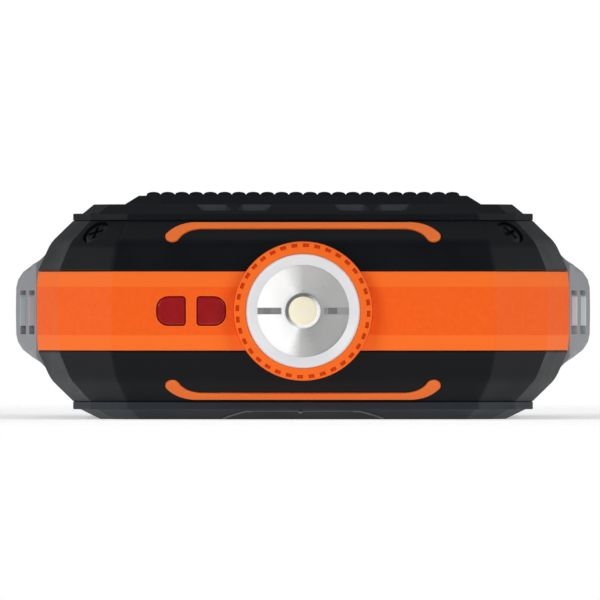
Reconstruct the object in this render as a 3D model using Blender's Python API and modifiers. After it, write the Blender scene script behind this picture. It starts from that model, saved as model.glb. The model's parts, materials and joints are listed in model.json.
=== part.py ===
"""Rugged outdoor power bank with a focusing LED torch and two red signal lamps.

Metres, +Z up. The case lies on its base cover at z = 0, the torch looks along
-Y, and the origin is the middle of the base. Heights called h are measured
from the middle of the bumper band, which is also the height of the torch axis.
Insets are measured inwards from the widest outline of the band.
"""
import math

import bmesh
import bpy
from mathutils import Matrix, Vector

MM = 0.001

# Driving dimensions
WIDTH = 90.0 * MM              # over the two side grips
LENGTH = 150.0 * MM            # focus ring face to the rear of the band
HEIGHT = 35.6 * MM             # base to the crests of the ribbed pad
BAND_Z = 16.94 * MM            # height of the band's middle and the torch axis
RING_PROUD = 2.2 * MM          # focus ring in front of the band
GRIP_PROUD = 3.26 * MM         # side grip outside the band

HALF_WIDTH = WIDTH / 2 - GRIP_PROUD
HALF_LENGTH = (LENGTH - RING_PROUD) / 2
MID_Y = RING_PROUD / 2
FRONT_Y = MID_Y - HALF_LENGTH
REAR_Y = MID_Y + HALF_LENGTH

# Outline of the case seen from above: each corner is cut by two facets
END_FLAT = 30.0 * MM           # half-width of the flat front and rear
FACET_BREAK = 38.3 * MM        # half-width where the first facet meets the second
FACET_ANGLES = (0.0, math.radians(48.0), math.radians(72.0), math.radians(90.0))

# Clearances
GAP = 0.3 * MM                 # between pieces that rest on each other
FIT = 0.15 * MM                # round pieces that sit in a pocket

# Case section, as insets and heights from the band's middle
BAND_HALF = 6.18 * MM
BAND_STRIP = 3.78 * MM         # half-height of the band's flat strip
BAND_BEVEL = 0.45 * MM
BAND_THICK = 2.0 * MM
WALL_INSET = 4.2 * MM          # inner face of the case wall
SHOULDER_INSET = 2.18 * MM     # where the steep wall turns into the 45 degree slope
SHOULDER_H = 10.7 * MM
EDGE_INSET = 5.71 * MM         # top edge of the slope
EDGE_H = 14.15 * MM
CEILING_INSET = 6.5 * MM
CEILING_H = 12.2 * MM
SPLIT = 0.1 * MM               # half the gap between the two shells

# Trims, across the case and up the end slopes
TRIM_TIP_X = 20.5 * MM
TRIM_TIP_UP = 1.3 * MM
TRIM_BEND_X = 18.9 * MM
TRIM_STRAIGHT_X = 15.0 * MM
TRIM_UP = 3.75 * MM
TRIM_TIP_HALF = 1.12 * MM
TRIM_BAR_HALF = 0.78 * MM

# Covers
LEDGE_INSET = 5.69 * MM
TOP_COVER_Z = 31.3 * MM
TOP_LEDGE_Z = 32.2 * MM
PLATEAU_Z = 33.65 * MM
BLOCK_Z = 35.0 * MM
RIBS = 22
RIB_PITCH = 2.23 * MM
PAD_HALF_LENGTH = HALF_LENGTH - 11.0 * MM
PAD_BASE_Z = 34.3 * MM
PAD_VALLEY_Z = 35.2 * MM       # between the ribs
PAD_CORNER = 4.2 * MM
LOUVRE_X = (-14.0 * MM, -7.7 * MM, 7.7 * MM, 14.0 * MM)
LOUVRE_HALF = 2.3 * MM
LOUVRE_LEAN = 0.5 * MM
LOUVRE_Z = (32.75 * MM, 33.5 * MM)
BASE_COVER_TOP = 2.6 * MM
BASE_LEDGE_Z = 1.53 * MM

# Torch, as radii and distances forward of the band's front face
RING_RADIUS = 10.85 * MM
RING_BORE = 9.05 * MM
DIMPLES = 36
DIMPLE_ORBIT = 10.25 * MM
POCKET_RADIUS = 11.0 * MM
CARRIER_RADIUS = 8.95 * MM
BOWL_MOUTH = 7.15 * MM
BOWL_THROAT = 2.8 * MM
BOWL_FRONT = -2.2 * MM
BOWL_BACK = -8.2 * MM
BARREL_RADIUS = 10.75 * MM
FLANGE_RADIUS = 11.6 * MM

# Signal lamps
LAMP_SIZE = 4.55 * MM
LAMP_X = (-20.6 * MM, -14.3 * MM)

# Screws
HEAD_RADIUS = 2.1 * MM
HEAD_HEIGHT = 1.0 * MM
SHANK_RADIUS = 1.1 * MM
POST_RADIUS = 2.6 * MM
CORNER_SCREW_X = 32.5 * MM
CORNER_SCREW_H = 12.4 * MM
BASE_SCREW_X = 24.0 * MM
BASE_SCREW_Y = 57.0 * MM

# Electronics
CELLS = 3
CELL_RADIUS = 10.6 * MM
CELL_PITCH = 21.6 * MM
CELL_FRONT = -42.0 * MM
CELL_BACK = 28.2 * MM
BUTTON_Y = 40.0 * MM
WINDOW_Y = 53.0 * MM
BOARD_THICK = 1.6 * MM
MAIN_BOARD_TOP = 13.8 * MM
PORT_X = 13.6 * MM

# Side grips
GRIP_HALF_LENGTH = 48.0 * MM
GRIP_INNER = WIDTH / 2 - 4.1 * MM
GRIP_SECTION = (               # in from the outer face, height from the middle
    (0.0, 0.0), (0.0, 3.4 * MM), (0.15 * MM, 4.8 * MM), (0.8 * MM, 5.6 * MM),
    (3.4 * MM, 7.55 * MM), (4.3 * MM, 9.4 * MM), (4.9 * MM, 10.4 * MM),
    (5.2 * MM, 10.4 * MM), (5.2 * MM, 6.6 * MM), (4.1 * MM, 6.6 * MM),
)
GRIP_RIBS = ((2.35 * MM, 45.6 * MM), (0.95 * MM, 42.0 * MM))   # in, along from the middle
GRIP_RIB_HALF = Vector((0.45, 1.4, 2.3)) * MM
GRIP_END_ANGLE = math.radians(69.0)

# Port cover at the rear
DOOR_HALF = 22.0 * MM
DOOR_HALF_HEIGHT = 5.4 * MM
DOOR_THICK = 1.8 * MM
DOOR_PIN_H = -4.5 * MM
DOOR_PIN_IN = 0.95 * MM        # pin axis in front of the band's rear face

PARTS = None
CUTTERS = None


# ---------------------------------------------------------------- scene set-up

def clear_scene():
    for obj in list(bpy.data.objects):
        bpy.data.objects.remove(obj)


def new_collection(name):
    collection = bpy.data.collections.new(name)
    bpy.context.scene.collection.children.link(collection)
    return collection


def new_material(name, colour, roughness, metallic=0.0, transmission=0.0):
    material = bpy.data.materials.new(name)
    material.use_nodes = True
    shader = material.node_tree.nodes["Principled BSDF"]
    shader.inputs["Base Color"].default_value = (*colour, 1.0)
    shader.inputs["Roughness"].default_value = roughness
    shader.inputs["Metallic"].default_value = metallic
    shader.inputs["Transmission Weight"].default_value = transmission
    material.diffuse_color = (*colour, 1.0)
    return material


def part(obj, colour, roughness, metallic=0.0, transmission=0.0):
    """Give a sub-part its own material and put it with the parts."""
    obj.data.materials.append(new_material(obj.name, colour, roughness, metallic, transmission))
    PARTS.objects.link(obj)
    return obj


def cutter(obj):
    obj.hide_render = True
    obj.display_type = "WIRE"
    CUTTERS.objects.link(obj)
    return obj


def boolean(target, tool, operation):
    modifier = target.modifiers.new(tool.name, "BOOLEAN")
    modifier.operation = operation
    modifier.solver = "EXACT"
    modifier.object = tool


def cut(target, *tools):
    for tool in tools:
        boolean(target, tool, "DIFFERENCE")


def join(target, *tools):
    for tool in tools:
        boolean(target, tool, "UNION")


# ---------------------------------------------------------------- shape makers

def object_from_bmesh(name, bm):
    bmesh.ops.recalc_face_normals(bm, faces=bm.faces)
    mesh = bpy.data.meshes.new(name)
    bm.to_mesh(mesh)
    bm.free()
    return bpy.data.objects.new(name, mesh)


def box(name, low, high):
    """Box between two corners."""
    low = Vector(low)
    high = Vector(high)
    bm = bmesh.new()
    scale = Matrix.Diagonal((*(high - low), 1.0))
    bmesh.ops.create_cube(bm, size=1.0, matrix=Matrix.Translation((low + high) / 2) @ scale)
    return object_from_bmesh(name, bm)


def rod(name, start, end, radius, segments=24):
    """Cylinder between two points."""
    start = Vector(start)
    axis = Vector(end) - start
    turn = axis.to_track_quat("Z", "Y").to_matrix().to_4x4()
    bm = bmesh.new()
    bmesh.ops.create_cone(
        bm, cap_ends=True, segments=segments, radius1=radius, radius2=radius,
        depth=axis.length, matrix=Matrix.Translation(start + axis / 2) @ turn)
    obj = object_from_bmesh(name, bm)
    obj.data.shade_smooth()
    obj.data.set_sharp_from_angle(angle=math.radians(35))
    return obj


def turned(name, profile, closed=True, segments=32):
    """Profile of (radius, height) turned about local Z, outer side first, top down."""
    mesh = bpy.data.meshes.new(name)
    points = [(radius, 0.0, height) for radius, height in profile]
    edges = [(i, i + 1) for i in range(len(points) - 1)]
    if closed:
        edges.append((len(points) - 1, 0))
    mesh.from_pydata(points, edges, [])
    obj = bpy.data.objects.new(name, mesh)
    screw = obj.modifiers.new("Turn", "SCREW")
    screw.angle = math.tau
    screw.steps = segments
    screw.render_steps = segments
    screw.use_merge_vertices = True
    screw.merge_threshold = 0.00001
    screw.use_smooth_shade = True
    return obj


def face_forward(obj, x=0.0):
    """Stand a turned piece on the torch axis, its local Z pointing forward."""
    obj.location = (x, FRONT_Y, BAND_Z)
    obj.rotation_euler = (math.pi / 2, 0.0, 0.0)
    return obj


def prism(name, outline, low, high):
    """Flat outline in local XY, made thick from low to high along local Z."""
    curve = bpy.data.curves.new(name, "CURVE")
    curve.dimensions = "2D"
    curve.fill_mode = "BOTH"
    curve.extrude = (high - low) / 2
    spline = curve.splines.new("POLY")
    spline.points.add(len(outline) - 1)
    for point, (x, y) in zip(spline.points, outline):
        point.co = (x, y, 0.0, 1.0)
    spline.use_cyclic_u = True
    guide = bpy.data.objects.new(name + "_outline", curve)
    bpy.context.scene.collection.objects.link(guide)
    evaluated = guide.evaluated_get(bpy.context.evaluated_depsgraph_get())
    mesh = bpy.data.meshes.new_from_object(evaluated)
    bm = bmesh.new()
    bm.from_mesh(mesh)
    bmesh.ops.remove_doubles(bm, verts=bm.verts, dist=0.000005)
    bmesh.ops.translate(bm, verts=bm.verts, vec=(0.0, 0.0, (low + high) / 2))
    bpy.data.objects.remove(guide)
    return object_from_bmesh(name, bm)


def arc(centre, radius, start, end, steps):
    """Points on an arc, angles in degrees."""
    angles = [math.radians(start + (end - start) * i / steps) for i in range(steps + 1)]
    return [(centre[0] + radius * math.cos(a), centre[1] + radius * math.sin(a)) for a in angles]


def rounded_rectangle(width, height, radii, steps=4):
    """Rectangle about the origin; radii run from the right top corner, anticlockwise."""
    points = []
    signs = ((1, 1), (-1, 1), (-1, -1), (1, -1))
    for quarter, ((sx, sy), radius) in enumerate(zip(signs, radii)):
        centre = (sx * (width / 2 - radius), sy * (height / 2 - radius))
        points += arc(centre, radius, 90 * quarter, 90 * quarter + 90, steps)
    return points


# ---------------------------------------------------------------- case outline

def facet_planes():
    """Angle from +Y and distance from the middle, for the facets of one quarter."""
    planes = []
    y = HALF_LENGTH
    x = 0.0
    for angle, corner_x in zip(FACET_ANGLES, (END_FLAT, FACET_BREAK, HALF_WIDTH)):
        distance = x * math.sin(angle) + y * math.cos(angle)
        planes.append((angle, distance))
        y = (distance - corner_x * math.sin(angle)) / math.cos(angle)
        x = corner_x
    planes.append((FACET_ANGLES[-1], HALF_WIDTH))
    return planes


def plan(inset):
    """Corners of the case outline seen from above, drawn in by inset."""
    planes = [(angle, distance - inset) for angle, distance in facet_planes()]
    quarter = []
    for (a1, d1), (a2, d2) in zip(planes, planes[1:]):
        det = math.sin(a1 - a2)
        x = (d1 * math.cos(a2) - d2 * math.cos(a1)) / det
        y = (math.sin(a1) * d2 - math.sin(a2) * d1) / det
        quarter.append((x, y))
    right = [(x, y) for x, y in reversed(quarter)]
    left = [(-x, y) for x, y in quarter]
    rear = right + left
    front = [(-x, -y) for x, y in rear]
    return [(x, MID_Y + y) for x, y in rear + front]


def loft(name, outlines, closed=False):
    """Solid through outlines of (points, z): capped, or joined end to end as a ring."""
    bm = bmesh.new()
    rings = [[bm.verts.new((x, y, z)) for x, y in points] for points, z in outlines]
    following = rings[1:] + rings[:1] if closed else rings[1:]
    for ring, above in zip(rings, following):
        for i in range(len(ring)):
            j = (i + 1) % len(ring)
            bm.faces.new((ring[i], ring[j], above[j], above[i]))
    if not closed:
        bm.faces.new(reversed(rings[0]))
        bm.faces.new(rings[-1])
    return object_from_bmesh(name, bm)


def case_loft(name, rows, closed=False):
    """Loft of the case outline through rows of (inset, z)."""
    return loft(name, [(plan(inset), z) for inset, z in rows], closed)


# ---------------------------------------------------------------- case shells

def shell(name, side):
    """Hollow half of the case; side is +1 for the upper half and -1 for the lower."""
    rows = (
        (CEILING_INSET, CEILING_H),
        (WALL_INSET, 9.8 * MM),
        (WALL_INSET, SPLIT),
        (BAND_THICK + 0.35 * MM, SPLIT),
        (BAND_THICK + 0.35 * MM, BAND_HALF + 0.17 * MM),
        (0.34 * MM, BAND_HALF + 0.17 * MM),
        (SHOULDER_INSET, SHOULDER_H),
        (EDGE_INSET, EDGE_H),
    )
    return case_loft(name, [(inset, BAND_Z + side * h) for inset, h in rows])


def saddle(side):
    """Plate across the shell that holds the torch barrel between its flanges."""
    heights = sorted((BAND_Z + side * SPLIT, BAND_Z + side * (CEILING_H + 0.3 * MM)))
    low = (-14.0 * MM, FRONT_Y + 9.8 * MM, heights[0])
    high = (14.0 * MM, FRONT_Y + 11.8 * MM, heights[1])
    return cutter(box(f"saddle_{side}", low, high))


def front_openings():
    """Cutters for the torch pocket, the saddle seat and the two lamp windows."""
    pocket = rod("torch_pocket", (0, FRONT_Y - 3 * MM, BAND_Z), (0, FRONT_Y + 8 * MM, BAND_Z),
                 POCKET_RADIUS, 40)
    seat = rod("saddle_seat", (0, FRONT_Y + 9.5 * MM, BAND_Z), (0, FRONT_Y + 12.1 * MM, BAND_Z),
               BARREL_RADIUS + 0.2 * MM, 36)
    windows = [lamp_prism(f"lamp_window_{i}", i, FIT, 1.0 * MM, -5.0 * MM) for i in range(2)]
    return cutter(pocket), cutter(seat), [cutter(window) for window in windows]


def grip_pocket(side_x, side_z):
    """Shallow step in a shell's side where a grip's flange lies."""
    xs = sorted((side_x * 39.5 * MM, side_x * 45.0 * MM))
    zs = sorted((BAND_Z + side_z * 6.2 * MM, BAND_Z + side_z * 10.9 * MM))
    reach = GRIP_HALF_LENGTH + GAP
    return cutter(box(f"grip_pocket_{side_x}_{side_z}", (xs[0], MID_Y - reach, zs[0]),
                      (xs[1], MID_Y + reach, zs[1])))


def port_opening():
    low = (-21.0 * MM, REAR_Y - 4.6 * MM, BAND_Z - 4.9 * MM)
    high = (21.0 * MM, REAR_Y + 1.0 * MM, BAND_Z + 4.9 * MM)
    return cutter(box("port_opening", low, high))


def slope_frame(lower, rear):
    """Frame on the middle of an end slope: X along the case, Y up the slope, Z outwards."""
    lean = math.atan2(EDGE_H - SHOULDER_H, EDGE_INSET - SHOULDER_INSET)
    foot = Matrix.Translation((0.0, -HALF_LENGTH + SHOULDER_INSET, SHOULDER_H))
    frame = foot @ Matrix.Rotation(lean, 4, "X")
    if lower:
        frame = Matrix.Rotation(math.pi, 4, "Y") @ frame
    if rear:
        frame = Matrix.Rotation(math.pi, 4, "Z") @ frame
    return Matrix.Translation((0.0, MID_Y, BAND_Z)) @ frame


def trim_outline(grow):
    """Bar with both ends curving down the slope and widening to round tips."""
    tip = Vector((TRIM_TIP_X, TRIM_TIP_UP))
    bend = Vector((TRIM_BEND_X, TRIM_UP))
    straight = Vector((TRIM_STRAIGHT_X, TRIM_UP))
    steps = 7
    outer = []
    inner = []
    for i in range(steps + 1):
        t = i / steps
        point = tip * (1 - t) ** 2 + bend * 2 * t * (1 - t) + straight * t * t
        along = (bend - tip) * (1 - t) + (straight - bend) * t
        across = Vector((along.y, -along.x)).normalized()
        half = TRIM_TIP_HALF + (TRIM_BAR_HALF - TRIM_TIP_HALF) * t + grow
        outer.append(point + across * half)
        inner.append(point - across * half)
    start = math.degrees(math.atan2(*(inner[0] - tip).yx))
    cap = [Vector(p) for p in arc(tip, TRIM_TIP_HALF + grow, start, start + 180, 6)][1:-1]
    half_outline = list(reversed(inner)) + cap + outer
    mirrored = [Vector((-p.x, p.y)) for p in reversed(half_outline)]
    return [(p.x, p.y) for p in half_outline + mirrored]


TRIMS = {
    "front_upper_trim": (False, False),
    "front_lower_trim": (True, False),
    "rear_upper_trim": (False, True),
    "rear_lower_trim": (True, True),
}


def trims(upper, lower):
    """Orange inlays in the four end slopes, and their pockets."""
    for name, (is_lower, is_rear) in TRIMS.items():
        frame = slope_frame(is_lower, is_rear)
        inlay = prism(name, trim_outline(0.0), -0.5 * MM, 0.3 * MM)
        inlay.matrix_world = frame
        part(inlay, (0.80, 0.16, 0.03), 0.5)
        pocket = prism(name + "_pocket", trim_outline(FIT), -0.8 * MM, 1.5 * MM)
        pocket.matrix_world = frame
        cut(lower if is_lower else upper, cutter(pocket))


def bumper_band():
    bevel = (BAND_BEVEL, BAND_HALF)
    strip = (0.0, BAND_STRIP)
    back = (BAND_THICK, BAND_HALF)
    section = [(i, BAND_Z + h) for i, h in (bevel, strip)]
    section += [(i, BAND_Z - h) for i, h in (strip, bevel, back)]
    section.append((back[0], BAND_Z + back[1]))
    band = case_loft("bumper_band", section, closed=True)
    for side in (-1, 1):
        xs = sorted((side * 40.6 * MM, side * 45.0 * MM))
        reach = GRIP_HALF_LENGTH + GAP
        cut(band, cutter(box(f"band_side_{side}", (xs[0], MID_Y - reach, BAND_Z - 6.6 * MM),
                             (xs[1], MID_Y + reach, BAND_Z + 6.6 * MM))))
    door_way = box("door_way", (-DOOR_HALF - 0.2 * MM, REAR_Y - 2.4 * MM, BAND_Z - 5.6 * MM),
                   (DOOR_HALF + 0.2 * MM, REAR_Y + 1.0 * MM, BAND_Z + 5.6 * MM))
    cut(band, cutter(door_way), cutter(door_bore("band_pin_bore")))
    return part(band, (0.88, 0.12, 0.02), 0.5)


def octagon(half_x, half_y, corner):
    """Rectangle with cut corners, about the middle of the case."""
    quarter = [(half_x, half_y - corner), (half_x - corner, half_y)]
    rear = quarter + [(-x, y) for x, y in reversed(quarter)]
    return [(x, MID_Y + y) for x, y in rear + [(-x, -y) for x, y in rear]]


def louvre(index):
    """Slanted louvre in the front wall of the top cover."""
    centre = LOUVRE_X[index]
    lean = LOUVRE_LEAN if index % 2 else -LOUVRE_LEAN
    half = LOUVRE_HALF
    low, high = LOUVRE_Z
    outline = [(centre - half - lean, low), (centre + half - lean, low),
               (centre + half + lean, high), (centre - half + lean, high)]
    recess = prism(f"louvre_{index}", outline, 0.0, 2.8 * MM)
    recess.matrix_world = Matrix.Translation((0, FRONT_Y + 9.2 * MM, 0)) @ Matrix.Rotation(
        math.pi / 2, 4, "X")
    return cutter(recess)


def top_cover():
    cover = case_loft("top_cover", ((LEDGE_INSET, TOP_COVER_Z), (LEDGE_INSET, TOP_LEDGE_Z),
                                    (7.18 * MM, TOP_LEDGE_Z), (8.94 * MM, PLATEAU_Z)))
    foot = octagon(27.9 * MM, HALF_LENGTH - 9.0 * MM, 5.7 * MM)
    crown = octagon(25.7 * MM, HALF_LENGTH - 10.3 * MM, 4.4 * MM)
    block = loft("raised_block", ((foot, 32.8 * MM), (foot, PLATEAU_Z), (crown, BLOCK_Z)))
    join(cover, cutter(block))
    rim = pad_corners(FIT)
    pocket = loft("pad_pocket", ((rim, PAD_BASE_Z - GAP), (rim, HEIGHT + 1.0 * MM)))
    hollow = box("cover_hollow", (-21.0 * MM, MID_Y - 56.0 * MM, 31.0 * MM),
                 (21.0 * MM, MID_Y + 56.0 * MM, 32.9 * MM))
    cut(cover, cutter(pocket), cutter(hollow))
    cut(cover, *[louvre(i) for i in range(len(LOUVRE_X))])
    return part(cover, (0.013, 0.015, 0.018), 0.55)


def pad_corners(grow):
    """Plan of the ribbed pad, a little inside the crown of the raised block."""
    return octagon(RIBS * RIB_PITCH / 2 + grow, PAD_HALF_LENGTH + grow, PAD_CORNER)


def grip_pad():
    """Rubber pad with rounded ribs that run along the case."""
    steps = 4
    half = RIBS * RIB_PITCH / 2
    crests = []
    for rib in range(RIBS):
        for step in range(steps):
            x = -half + (rib + step / steps) * RIB_PITCH
            rise = (HEIGHT - PAD_VALLEY_Z) * math.sin(math.pi * step / steps)
            crests.append((x, PAD_VALLEY_Z + rise))
    crests.append((half, PAD_VALLEY_Z))
    outline = [(-half, PAD_BASE_Z), (half, PAD_BASE_Z)] + list(reversed(crests))
    pad = prism("grip_pad", outline, -PAD_HALF_LENGTH, PAD_HALF_LENGTH)
    pad.matrix_world = Matrix.Translation((0, MID_Y, 0)) @ Matrix.Rotation(math.pi / 2, 4, "X")
    shape = loft("pad_plan", [(pad_corners(0.0), z) for z in (PAD_BASE_Z - MM, HEIGHT + MM)])
    boolean(pad, cutter(shape), "INTERSECT")
    return part(pad, (0.010, 0.011, 0.013), 0.8)


def base_cover():
    cover = case_loft("base_cover", ((9.94 * MM, 0.0), (6.84 * MM, BASE_LEDGE_Z),
                                     (LEDGE_INSET, BASE_LEDGE_Z), (LEDGE_INSET, BASE_COVER_TOP)))
    return part(cover, (0.035, 0.038, 0.043), 0.5)


# ---------------------------------------------------------------- torch

def ring_dimples():
    """Joined cutter for the grip dimples round the ring's face."""
    bm = bmesh.new()
    for i in range(DIMPLES):
        angle = math.tau * i / DIMPLES
        place = Matrix.Translation((DIMPLE_ORBIT * math.cos(angle),
                                    DIMPLE_ORBIT * math.sin(angle), RING_PROUD))
        bmesh.ops.create_cone(bm, cap_ends=True, segments=6, radius1=0.3 * MM,
                              radius2=0.3 * MM, depth=0.9 * MM, matrix=place)
    return cutter(face_forward(object_from_bmesh("ring_dimples", bm)))


def focus_ring():
    profile = (
        (10.6 * MM, RING_PROUD), (RING_RADIUS, RING_PROUD - 0.3 * MM),
        (RING_RADIUS, -3.0 * MM), (10.0 * MM, -3.0 * MM),
        (10.0 * MM, -5.0 * MM), (RING_BORE, -5.0 * MM),
        (RING_BORE, RING_PROUD - 0.2 * MM), (RING_BORE + 0.2 * MM, RING_PROUD),
    )
    ring = face_forward(turned("focus_ring", profile, segments=48))
    cut(ring, ring_dimples())
    return part(ring, (0.90, 0.14, 0.025), 0.45)


def optic_carrier():
    """Pale ring that holds the lens and reflector and slides inside the focus ring."""
    profile = (
        (8.6 * MM, 1.9 * MM), (CARRIER_RADIUS, 1.6 * MM), (CARRIER_RADIUS, -9.0 * MM),
        (8.2 * MM, -9.0 * MM), (8.2 * MM, 0.9 * MM), (7.2 * MM, 0.9 * MM), (7.2 * MM, 1.2 * MM),
    )
    return part(face_forward(turned("optic_carrier", profile, segments=32)),
                (0.72, 0.72, 0.74), 0.3, 0.4)


def torch_lens():
    profile = ((0.0, 0.6 * MM), (7.9 * MM, 0.6 * MM), (7.9 * MM, -0.6 * MM), (0.0, -0.6 * MM))
    return part(face_forward(turned("torch_lens", profile, closed=False, segments=32)),
                (0.95, 0.96, 0.97), 0.05, 0.0, 1.0)


def lens_gasket():
    seal = [(7.6 * MM + 0.3 * MM * math.cos(a), -1.3 * MM + 0.3 * MM * math.sin(a))
            for a in [-math.tau * i / 6 for i in range(6)]]
    return part(face_forward(turned("lens_gasket", seal, segments=24)), (0.01, 0.01, 0.01), 0.8)


def bowl_radius(t):
    """Radius of the reflector's parabola, from throat (0) to mouth (1)."""
    return math.sqrt(BOWL_THROAT ** 2 + t * (BOWL_MOUTH ** 2 - BOWL_THROAT ** 2))


def torch_reflector():
    steps = 5
    wall = 0.6 * MM
    depth = BOWL_FRONT - BOWL_BACK
    outer = [(7.9 * MM, BOWL_FRONT), (7.9 * MM, BOWL_FRONT - 0.8 * MM)]
    for i in range(steps - 1, -1, -1):
        t = i / steps
        outer.append((bowl_radius(t) + wall, BOWL_BACK + t * depth - 0.3 * MM))
    inner = [(bowl_radius(i / steps), BOWL_BACK + i / steps * depth) for i in range(steps + 1)]
    back = [(BOWL_THROAT, BOWL_BACK - 0.3 * MM)]
    return part(face_forward(turned("torch_reflector", outer + back + inner, segments=28)),
                (0.9, 0.9, 0.92), 0.12, 1.0)


def torch_barrel():
    profile = (
        (BARREL_RADIUS, -3.3 * MM), (BARREL_RADIUS, -8.3 * MM), (FLANGE_RADIUS, -8.3 * MM),
        (FLANGE_RADIUS, -9.5 * MM), (BARREL_RADIUS, -9.5 * MM), (BARREL_RADIUS, -12.1 * MM),
        (FLANGE_RADIUS, -12.1 * MM), (FLANGE_RADIUS, -13.2 * MM), (10.4 * MM, -13.2 * MM),
        (10.4 * MM, -20.0 * MM), (9.1 * MM, -20.0 * MM), (9.1 * MM, -5.4 * MM),
        (10.15 * MM, -5.4 * MM), (10.15 * MM, -3.3 * MM),
    )
    return part(face_forward(turned("torch_barrel", profile, segments=28)),
                (0.02, 0.02, 0.022), 0.6)


def torch_led():
    profile = ((0.0, -8.0 * MM), (2.3 * MM, -8.0 * MM), (2.3 * MM, -9.0 * MM),
               (3.4 * MM, -9.0 * MM), (3.4 * MM, -10.0 * MM), (0.0, -10.0 * MM))
    return part(face_forward(turned("torch_led", profile, closed=False, segments=20)),
                (0.85, 0.78, 0.45), 0.4)


def led_board():
    profile = ((0.0, -10.3 * MM), (8.8 * MM, -10.3 * MM), (8.8 * MM, -11.9 * MM),
               (0.0, -11.9 * MM))
    return part(face_forward(turned("led_board", profile, closed=False, segments=20)),
                (0.8, 0.8, 0.8), 0.4)


def heat_sink():
    fins = 3
    pitch = 2.6 * MM
    profile = [(0.0, -12.2 * MM)]
    for fin in range(fins):
        top = -12.2 * MM - fin * pitch
        profile += [(8.8 * MM, top), (8.8 * MM, top - 1.0 * MM)]
        if fin < fins - 1:
            profile += [(6.0 * MM, top - 1.0 * MM), (6.0 * MM, top - pitch)]
    profile.append((0.0, profile[-1][1]))
    return part(face_forward(turned("heat_sink", profile, closed=False, segments=24)),
                (0.6, 0.61, 0.63), 0.35, 1.0)


# ---------------------------------------------------------------- signal lamps

def lamp_prism(name, index, grow, forward, back):
    """Prism of a lamp's outline: rounder corners on the side away from its twin."""
    size = LAMP_SIZE + 2 * grow
    round_corner = 1.8 * MM + grow
    tight_corner = 0.5 * MM + grow
    if index == 0:
        radii = (tight_corner, round_corner, round_corner, tight_corner)
    else:
        radii = (round_corner, tight_corner, tight_corner, round_corner)
    return face_forward(prism(name, rounded_rectangle(size, size, radii), back, forward),
                        LAMP_X[index])


def signal_lamps():
    for index, name in enumerate(("outer", "inner")):
        lens = lamp_prism(f"signal_lens_{name}", index, 0.0, -0.25 * MM, -5.2 * MM)
        flange = lamp_prism(f"lamp_flange_{name}", index, 0.55 * MM, -4.5 * MM, -5.5 * MM)
        join(lens, cutter(flange))
        part(lens, (0.30, 0.008, 0.01), 0.2, 0.0, 0.5)
        led = box(f"signal_led_{name}",
                  (LAMP_X[index] - 1.5 * MM, FRONT_Y + 6.2 * MM, BAND_Z - 1.5 * MM),
                  (LAMP_X[index] + 1.5 * MM, FRONT_Y + 7.7 * MM, BAND_Z + 1.5 * MM))
        part(led, (0.8, 0.8, 0.75), 0.4)
    board = box("signal_board", (-24.0 * MM, FRONT_Y + 8.0 * MM, BAND_Z - 4.5 * MM),
                (-12.0 * MM, FRONT_Y + 9.2 * MM, BAND_Z + 4.5 * MM))
    part(board, (0.01, 0.12, 0.04), 0.5)


# ---------------------------------------------------------------- side grips

def side_grip(name, side):
    """Grey end piece: a raised bar with thin flanges on the case and two ribs each end."""
    outline = [(WIDTH / 2 - inwards, h) for inwards, h in GRIP_SECTION]
    outline += [(x, -h) for x, h in reversed(outline[1:])]
    grip = prism(name, outline, -GRIP_HALF_LENGTH, GRIP_HALF_LENGTH)
    stand = Matrix.Translation((0, MID_Y, BAND_Z)) @ Matrix.Rotation(math.pi / 2, 4, "X")
    if side < 0:
        stand = Matrix.Translation((0, 2 * MID_Y, 0)) @ Matrix.Rotation(math.pi, 4, "Z") @ stand
    grip.matrix_world = stand
    for end in (-1, 1):
        bevel = box(f"{name}_bevel_{end}", (0, 0, -12 * MM), (12 * MM, 12 * MM, 12 * MM))
        corner = Matrix.Translation((side * 42.2 * MM, MID_Y + end * GRIP_HALF_LENGTH, BAND_Z))
        turn = Matrix.Rotation(-side * end * GRIP_END_ANGLE, 4, "Z")
        flip = Matrix.Diagonal((side, end, 1.0, 1.0))
        bevel.data.transform(flip)
        if side * end < 0:
            bevel.data.flip_normals()
        bevel.matrix_world = corner @ turn @ Matrix.Translation((-side * 2.0 * MM, 0, 0))
        cut(grip, cutter(bevel))
        for inwards, along in GRIP_RIBS:
            rib = box(f"{name}_rib_{end}", -GRIP_RIB_HALF, GRIP_RIB_HALF)
            rib.location = (side * (WIDTH / 2 - inwards), MID_Y + end * along, BAND_Z)
            join(grip, cutter(rib))
    return part(grip, (0.26, 0.27, 0.28), 0.45)


# ---------------------------------------------------------------- screws

def cross_recess(name, frame):
    """Plus-shaped cutter in the top of a screw head."""
    arms = [box(name + f"_{i}", (-1.3 * MM, -0.25 * MM, -0.6 * MM), (1.3 * MM, 0.25 * MM, 0.5 * MM))
            for i in range(2)]
    for i, arm in enumerate(arms):
        arm.matrix_world = frame @ Matrix.Rotation(i * math.pi / 2, 4, "Z")
        cutter(arm)
    return arms


def screw(name, frame, shank):
    """Cross-head screw; local Z points out of the head, z = 0 is the top of the head."""
    profile = ((0.0, 0.0), (HEAD_RADIUS - 0.3 * MM, 0.0), (HEAD_RADIUS, -0.3 * MM),
               (HEAD_RADIUS, -HEAD_HEIGHT), (SHANK_RADIUS, -HEAD_HEIGHT),
               (SHANK_RADIUS, -HEAD_HEIGHT - shank), (0.0, -HEAD_HEIGHT - shank))
    body = turned(name, profile, closed=False, segments=12)
    body.matrix_world = frame
    cut(body, *cross_recess(name + "_cross", frame))
    return part(body, (0.02, 0.02, 0.022), 0.4, 0.8)


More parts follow.
